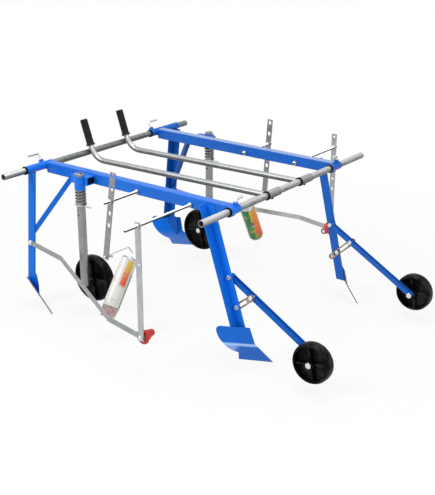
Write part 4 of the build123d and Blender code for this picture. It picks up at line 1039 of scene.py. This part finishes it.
class FILM_OT_hardware(PieceOperator, bpy.types.Operator):
    """Builds nuts, bolts and washers"""
    bl_idname = "film.hardware"
    bl_label = "Nuts and bolts"

    def execute(self, context):
        for side, out in SIDES.items():
            self.group(f"{side}_fasteners", f"{side}_side", out, rim_share=0.62)
            self.group(f"{side}_front_axle", f"{side}_gauge_arm", out, rim_share=0.48)
        return {"FINISHED"}

    def group(self, node, body, out, rim_share):
        """Rebuilds each solid: a short one is a nut on a rod, a long one a bolt with its nut and a washer,
        whose radius is a share of the width of the head."""
        longest_nut, chamfer = 12 * MM, 1.2 * MM
        shape = Shape()
        for solid in solids(node):
            low, length = spindle(solid, Y)[:2]
            width = np.ptp(solid[:, 2])
            if length < longest_nut:
                shape.hexagon(low, Y, width, length, chamfer, X)
            else:
                self.bolt(shape, solid, low, length, width, width * rim_share, out)
        shape.piece(f"{node}_set", "zinc_plate", body, "zinc", (node,), sharp=30.0)

    def bolt(self, shape, solid, low, length, width, rim, out):
        """Hex heads at both ends of the shank, as thick as the solid's own heads, and a washer half sunk in
        the inner face of the outer head."""
        thinnest_head, chamfer, washer = 3 * MM, 1.0 * MM, 1.6 * MM
        steps = np.unique(np.round(solid[:, 1] - solid[:, 1].min(), 5))
        head = steps[steps > thinnest_head][0]
        shank = self.shank(solid)
        for start in (0, length - head):
            shape.hexagon(low + Y * start, Y, width, head, chamfer, X)
        shape.pin(shank, head / 2, length - head / 2, low, Y, steps=32)
        seat = (head if out < 0 else length - head) - washer / 2
        ring = flat_ring(shank, rim, washer, edge=0.3 * MM, inner_edge=0, steps=3)
        shape.turn(ring, low + Y * seat, Y, steps=40)

    def shank(self, solid):
        """Radius of the narrowest ring of a solid, without the points near its axis."""
        near_axis, least = 3 * MM, 4 * MM
        centre = (solid.max(axis=0) + solid.min(axis=0)) / 2
        away = np.hypot(solid[:, 0] - centre[0], solid[:, 2] - centre[2])
        return max(away[away > near_axis].min(), least)


class FILM_OT_trim(PieceOperator, bpy.types.Operator):
    """Puts rings beside the hinge sleeves, black caps that stand in for the shade inside the open stub tubes, and
    clamps on the wire axles
    """
    bl_idname = "film.trim"
    bl_label = "Rings, plugs and clamps"

    def execute(self, context):
        for side, out in SIDES.items():
            self.hinge_ring(side)
            self.plug(side)
            self.clamp(side, out)
        return {"FINISHED"}

    def hinge_ring(self, side):
        """Flat ring turned about the front tube, against the right end of a handle's hinge sleeve."""
        bore, width = 13.65 * MM, 6 * MM
        tube = middle_of("front_tube")
        start = np.array([tube[0], hinge_sleeve(side)[0] - width, tube[2]])
        ring = flat_ring(bore, HINGE_REACH, width, edge=1.2 * MM, inner_edge=0.4 * MM, steps=5)
        shape = Shape().turn(ring, start, Y, steps=64)
        shape.piece(f"{side}_hinge_ring", "wheel_plastic", f"{side}_handle_bar", "black_plastic")

    def plug(self, side):
        """Black cap in the front end of the stub tube, a little under its rim, that stands in for the shade inside
        the open tube: a rounded box that narrows towards its face."""
        mouth = stub_mouth(side)[1]
        low, high = mouth.min(axis=0), mouth.max(axis=0)
        wall, sunk, bevel, deep = 3.05 * MM, 1.5 * MM, 1.5 * MM, 12 * MM
        half = (high - low) / 2 - wall
        outline = rounded_box(half[1], half[2], corner=2 * MM, steps=5)
        scale = np.array([1.0, 1.0, 0.93, 0.80])
        depth = np.array([deep, sunk + bevel, sunk, sunk])
        ring = outline[None] * scale[:, None, None]
        rows = (low + high) / 2 + ring[..., :1] * Y + ring[..., 1:] * Z
        rows[..., 0] = (high[0] - depth)[:, None]
        Shape().tube(rows).piece(f"{side}_stub_plug", "wheel_plastic", f"{side}_side", "black_plastic")

    def clamp(self, side, out):
        """Collar turned about the wire beside its strap, with a hex-headed set screw that points forward."""
        near_face, near_top, gap = 6 * MM, 14 * MM, 6.5 * MM
        bore, radius, width = 2.3 * MM, 8 * MM, 10 * MM
        points = vertices(f"{side}_roller_axle")
        face = min(np.array(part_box(f"{side}_roller_strap"))[:, 1], key=abs)
        near = (np.abs(points[:, 1] - face) < near_face) & (points[:, 2] > points[:, 2].max() - near_top)
        eye = (points[near].min(axis=0) + points[near].max(axis=0)) / 2
        start = np.array([eye[0], face - out * gap, eye[2]])
        middle = start - out * Y * width / 2
        collar = flat_ring(bore, radius, width, edge=1 * MM, inner_edge=0, steps=4)
        shape = Shape().turn(collar, start, -out * Y, steps=40)
        screw, head = 17 * MM, middle + X * 15 * MM
        shape.pin(radius=3 * MM, start=4 * MM, end=screw, origin=middle, axis=X, steps=24)
        shape.hexagon(head, X, width=10 * MM, height=6 * MM, chamfer=0.8 * MM, corner=Z)
        shape.piece(f"{side}_wire_clamp", "zinc_plate", f"{side}_roller_hanger", "zinc", sharp=30.0)


class FILM_OT_welds(PieceOperator, bpy.types.Operator):
    """Lays weld beads where the steel pieces meet"""
    bl_idname = "film.welds"
    bl_label = "Welds"

    def execute(self, context):
        for side, out in SIDES.items():
            rail = np.array(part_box(f"{side}_rail"))
            inner, outer = sorted(rail[:, 1], key=abs)
            shape = Shape()
            self.sleeve_welds(shape, side, (inner, outer))
            self.leg_welds(shape, side, out, outer, rail[0, 2])
            self.stub_welds(shape, side, outer)
            shape.piece(f"{side}_frame_welds", "blue_enamel", f"{side}_side", "blue_paint", sharp=80.0)
            self.handle_weld(side)
        return {"FINISHED"}

    def bead(self, shape, path):
        """Round bead along a path, its radius rippled as the pool froze and drawn in at both ends."""
        spacing, end_run, fine, coarse = 0.8 * MM, 2.5 * MM, 2.6 * MM, 9.1 * MM
        steps = np.linalg.norm(np.diff(path, axis=0), axis=1)
        run = np.concatenate(([0], np.cumsum(steps)))
        spots = np.linspace(0, run[-1], max(8, int(run[-1] / spacing)))
        line = np.stack([np.interp(spots, run, path[:, axis]) for axis in range(3)], axis=1)
        ends = np.minimum(np.minimum(spots, run[-1] - spots) / end_run, 1)
        ripple = 1 + 0.13 * np.sin(spots * 2 * pi / fine) + 0.06 * np.sin(spots * 2 * pi / coarse)
        radius = self.sizes().weld_radius * ripple * (0.45 + 0.55 * np.sqrt(ends))
        shape.tube(swept(line, radius, steps=10))

    def sleeve_welds(self, shape, side, faces):
        """Arcs round each sleeve on the faces of the rail that it passes."""
        radius, past = 17.4 * MM, 3 * MM
        angle = np.linspace(radians(-68), radians(68), 40)
        for sleeve in solids(f"{side}_sleeves"):
            low, high = sleeve.min(axis=0), sleeve.max(axis=0)
            front = np.sign(low[0] + high[0])
            tube = middle_of("front_tube" if front > 0 else "rear_tube")
            for face in faces:
                if low[1] + past < face < high[1] - past:
                    self.bead(shape, np.stack((
                        tube[0] - front * radius * np.cos(angle), np.full_like(angle, face),
                        tube[2] + radius * np.sin(angle)), axis=1))

    def leg_welds(self, shape, side, out, face, rail_foot):
        """Beads along straight edges of the front leg: both edges of the flange that lies on the rail, as
        high as the rail, and the front edge and the outer flange's edge, as high as the plough."""
        points = vertices(f"{side}_front_leg")
        foot, top = points[:, 2].min(), points[:, 2].max()
        plough_top = vertices(f"{side}_front_plough")[:, 2].max()
        lows, highs = (points[np.abs(points[:, 2] - level) < ON_FACE] for level in (foot, top))
        low, high = (ends[np.abs(ends[:, 1] - face) < ON_FACE] for ends in (lows, highs))
        rear, front = ((low[pick(low[:, 0])], high[pick(high[:, 0])]) for pick in (np.argmin, np.argmax))
        outer = (lows[np.argmax(lows[:, 1] * out)], highs[np.argmax(highs[:, 1] * out)])
        on_rail = np.array([rail_foot + 2 * MM, top - 2 * MM])
        on_plough = np.array([foot + 3 * MM, plough_top - 12 * MM])
        for edge, span in ((rear, on_rail), (front, on_rail), (front, on_plough), (outer, on_plough)):
            share = (span - foot) / (top - foot)
            self.bead(shape, edge[0] + share[:, None] * (edge[1] - edge[0]))

    def stub_welds(self, shape, side, face):
        """Beads above and below the stub tube on the rail."""
        points, mouth = stub_mouth(side)
        back, front = points[:, 0].min() + 2 * MM, points[:, 0].max() - 2 * MM
        for level in (mouth[:, 2].min(), mouth[:, 2].max()):
            self.bead(shape, np.array([[back, face, level], [front, face, level]]))

    def handle_weld(self, side):
        """Saddle bead where the handle's tube meets its hinge sleeve: the tube's circle pushed on to the
        sleeve."""
        sleeve, handle, drop = 17.0 * MM, 12.5 * MM, 13.0 * MM
        tube = middle_of("front_tube")
        middle = sum(hinge_sleeve(side)) / 2
        angle = np.linspace(radians(-16), radians(196), 60)
        level = handle * np.sin(angle) - drop
        back = tube[0] - np.sqrt(np.maximum(sleeve ** 2 - level ** 2, 0))
        shape = Shape()
        self.bead(shape, np.stack((back, middle + handle * np.cos(angle), tube[2] + level), axis=1))
        shape.piece(f"{side}_handle_weld", "handle_tube", f"{side}_handle_bar", "galvanised", sharp=80.0)


class FILM_OT_stage(PieceOperator, bpy.types.Operator):
    """Sets the camera, the floor and the lights"""
    bl_idname = "film.stage"
    bl_label = "Stage"

    def execute(self, context):
        self.camera()
        self.floor()
        self.light("key", place=(-1.9, -3.6, 3.6), target=(0.1, -0.2, 0.3), size=2.2, power=130)
        self.light("fill", place=(3.8, -1.0, 2.2), target=(0.2, 0, 0.35), size=2.0, power=34)
        self.light("top", place=(0.2, 0.4, 4.2), target=(0.1, 0, 0.4), size=2.4, power=75)
        self.sky()
        context.scene.view_settings.view_transform = "Standard"
        return {"FINISHED"}

    def camera(self):
        """Camera that was fitted to the view: 37.5 degrees from the side, 21 degrees up."""
        image_height, focal_pixels, sensor = 495, 964.1, 24.0
        lens = bpy.data.cameras.new("camera")
        lens.sensor_fit = "VERTICAL"
        lens.sensor_height = sensor
        lens.sensor_width = sensor
        lens.lens = sensor * focal_pixels / image_height
        lens.clip_end = 50
        camera = bpy.data.objects.new("camera", lens)
        camera.location = (2.514, -3.098, 1.768)
        camera.rotation_euler = (radians(90 - 21.05), 0, radians(37.47))
        bpy.context.scene.collection.objects.link(camera)
        bpy.context.scene.camera = camera

    def floor(self):
        """Wide floor that is white to the camera and still takes a soft shadow."""
        reach, level = 40, -0.0008
        near, far, glow_near = 1.0, 2.2, 0.84
        span = np.linspace(-reach, reach, 2)
        across, along = np.meshgrid(span, span, indexing="ij")
        points = np.stack((across, along, np.full_like(across, level)), axis=-1)
        mesh = bpy.data.meshes.new("floor")
        mesh.from_pydata(points.reshape(-1, 3).tolist(), [], [(0, 2, 3, 1)])
        floor = bpy.data.objects.new("floor", mesh)
        bpy.context.scene.collection.objects.link(floor)
        finish = Finish("floor")
        mesh.materials.append(finish.set(base_color=(0.86, 0.86, 0.86), roughness=0.9))
        glow = finish.node("Emission", values={"Color": (1, 1, 1), "Strength": 1.0})
        away = finish.node("VectorMath", {"operation": "LENGTH"}, {0: finish.place()}, output=1)
        share = finish.seen() * (glow_near + away.ramp(near, far) * (1 - glow_near))
        plain = Wire(finish, finish.shader.outputs[0])
        blend = finish.node("MixShader", values={0: share, 1: plain, 2: glow})
        finish.fill(finish.tree.nodes["Material Output"].inputs[0], blend)

    def light(self, name, place, target, size, power):
        """Square lamp at a place, turned to a target."""
        lamp = bpy.data.lights.new(name, "AREA")
        lamp.energy = power
        lamp.size = size
        light = bpy.data.objects.new(name, lamp)
        light.location = place
        back = unit(np.array(place) - np.array(target))
        light.rotation_euler = (np.arccos(back[2]), 0, np.arctan2(back[0], -back[1]))
        bpy.context.scene.collection.objects.link(light)

    def sky(self):
        """Plain pale light all round, white where the camera looks past the object."""
        pale = 0.38
        world = bpy.data.worlds.new("sky")
        bpy.context.scene.world = world
        world.use_nodes = True
        sky = Shading(world.node_tree)
        background = sky.tree.nodes["Background"]
        sky.fill(background.inputs["Color"], (1, 1, 1))
        sky.fill(background.inputs["Strength"], sky.seen() * (1 - pale) + pale)


class FILM_PT_panel(bpy.types.Panel):
    """Lists the steps that dress the film layer"""
    bl_label = "Film layer"
    bl_idname = "FILM_PT_panel"
    bl_space_type = "VIEW_3D"
    bl_region_type = "UI"
    bl_category = "Film layer"

    def draw(self, context):
        for step in STEPS:
            self.layout.operator(step.bl_idname)
        for group in (context.scene.layer_sizes, context.scene.layer_colours):
            for name in group.__annotations__:
                self.layout.prop(group, name)


STEPS = (FILM_OT_frame_finish, FILM_OT_wheels, FILM_OT_grips, FILM_OT_springs, FILM_OT_rollers, FILM_OT_cones,
         FILM_OT_rods, FILM_OT_hardware, FILM_OT_trim, FILM_OT_welds, FILM_OT_stage)
CLASSES = (LayerSizes, LayerColours, *STEPS, FILM_PT_panel)


def register():
    for kind in CLASSES:
        bpy.utils.register_class(kind)
    bpy.types.Scene.layer_sizes = bpy.props.PointerProperty(type=LayerSizes)
    bpy.types.Scene.layer_colours = bpy.props.PointerProperty(type=LayerColours)


def unregister():
    del bpy.types.Scene.layer_colours
    del bpy.types.Scene.layer_sizes
    for kind in reversed(CLASSES):
        bpy.utils.unregister_class(kind)


def main():
    register()
    bpy.ops.film.frame_finish()
    bpy.ops.film.wheels()
    bpy.ops.film.grips()
    bpy.ops.film.springs()
    bpy.ops.film.rollers()
    bpy.ops.film.cones()
    bpy.ops.film.rods()
    bpy.ops.film.hardware()
    bpy.ops.film.trim()
    bpy.ops.film.welds()
    bpy.ops.film.stage()


if __name__ == "__main__":
    main()
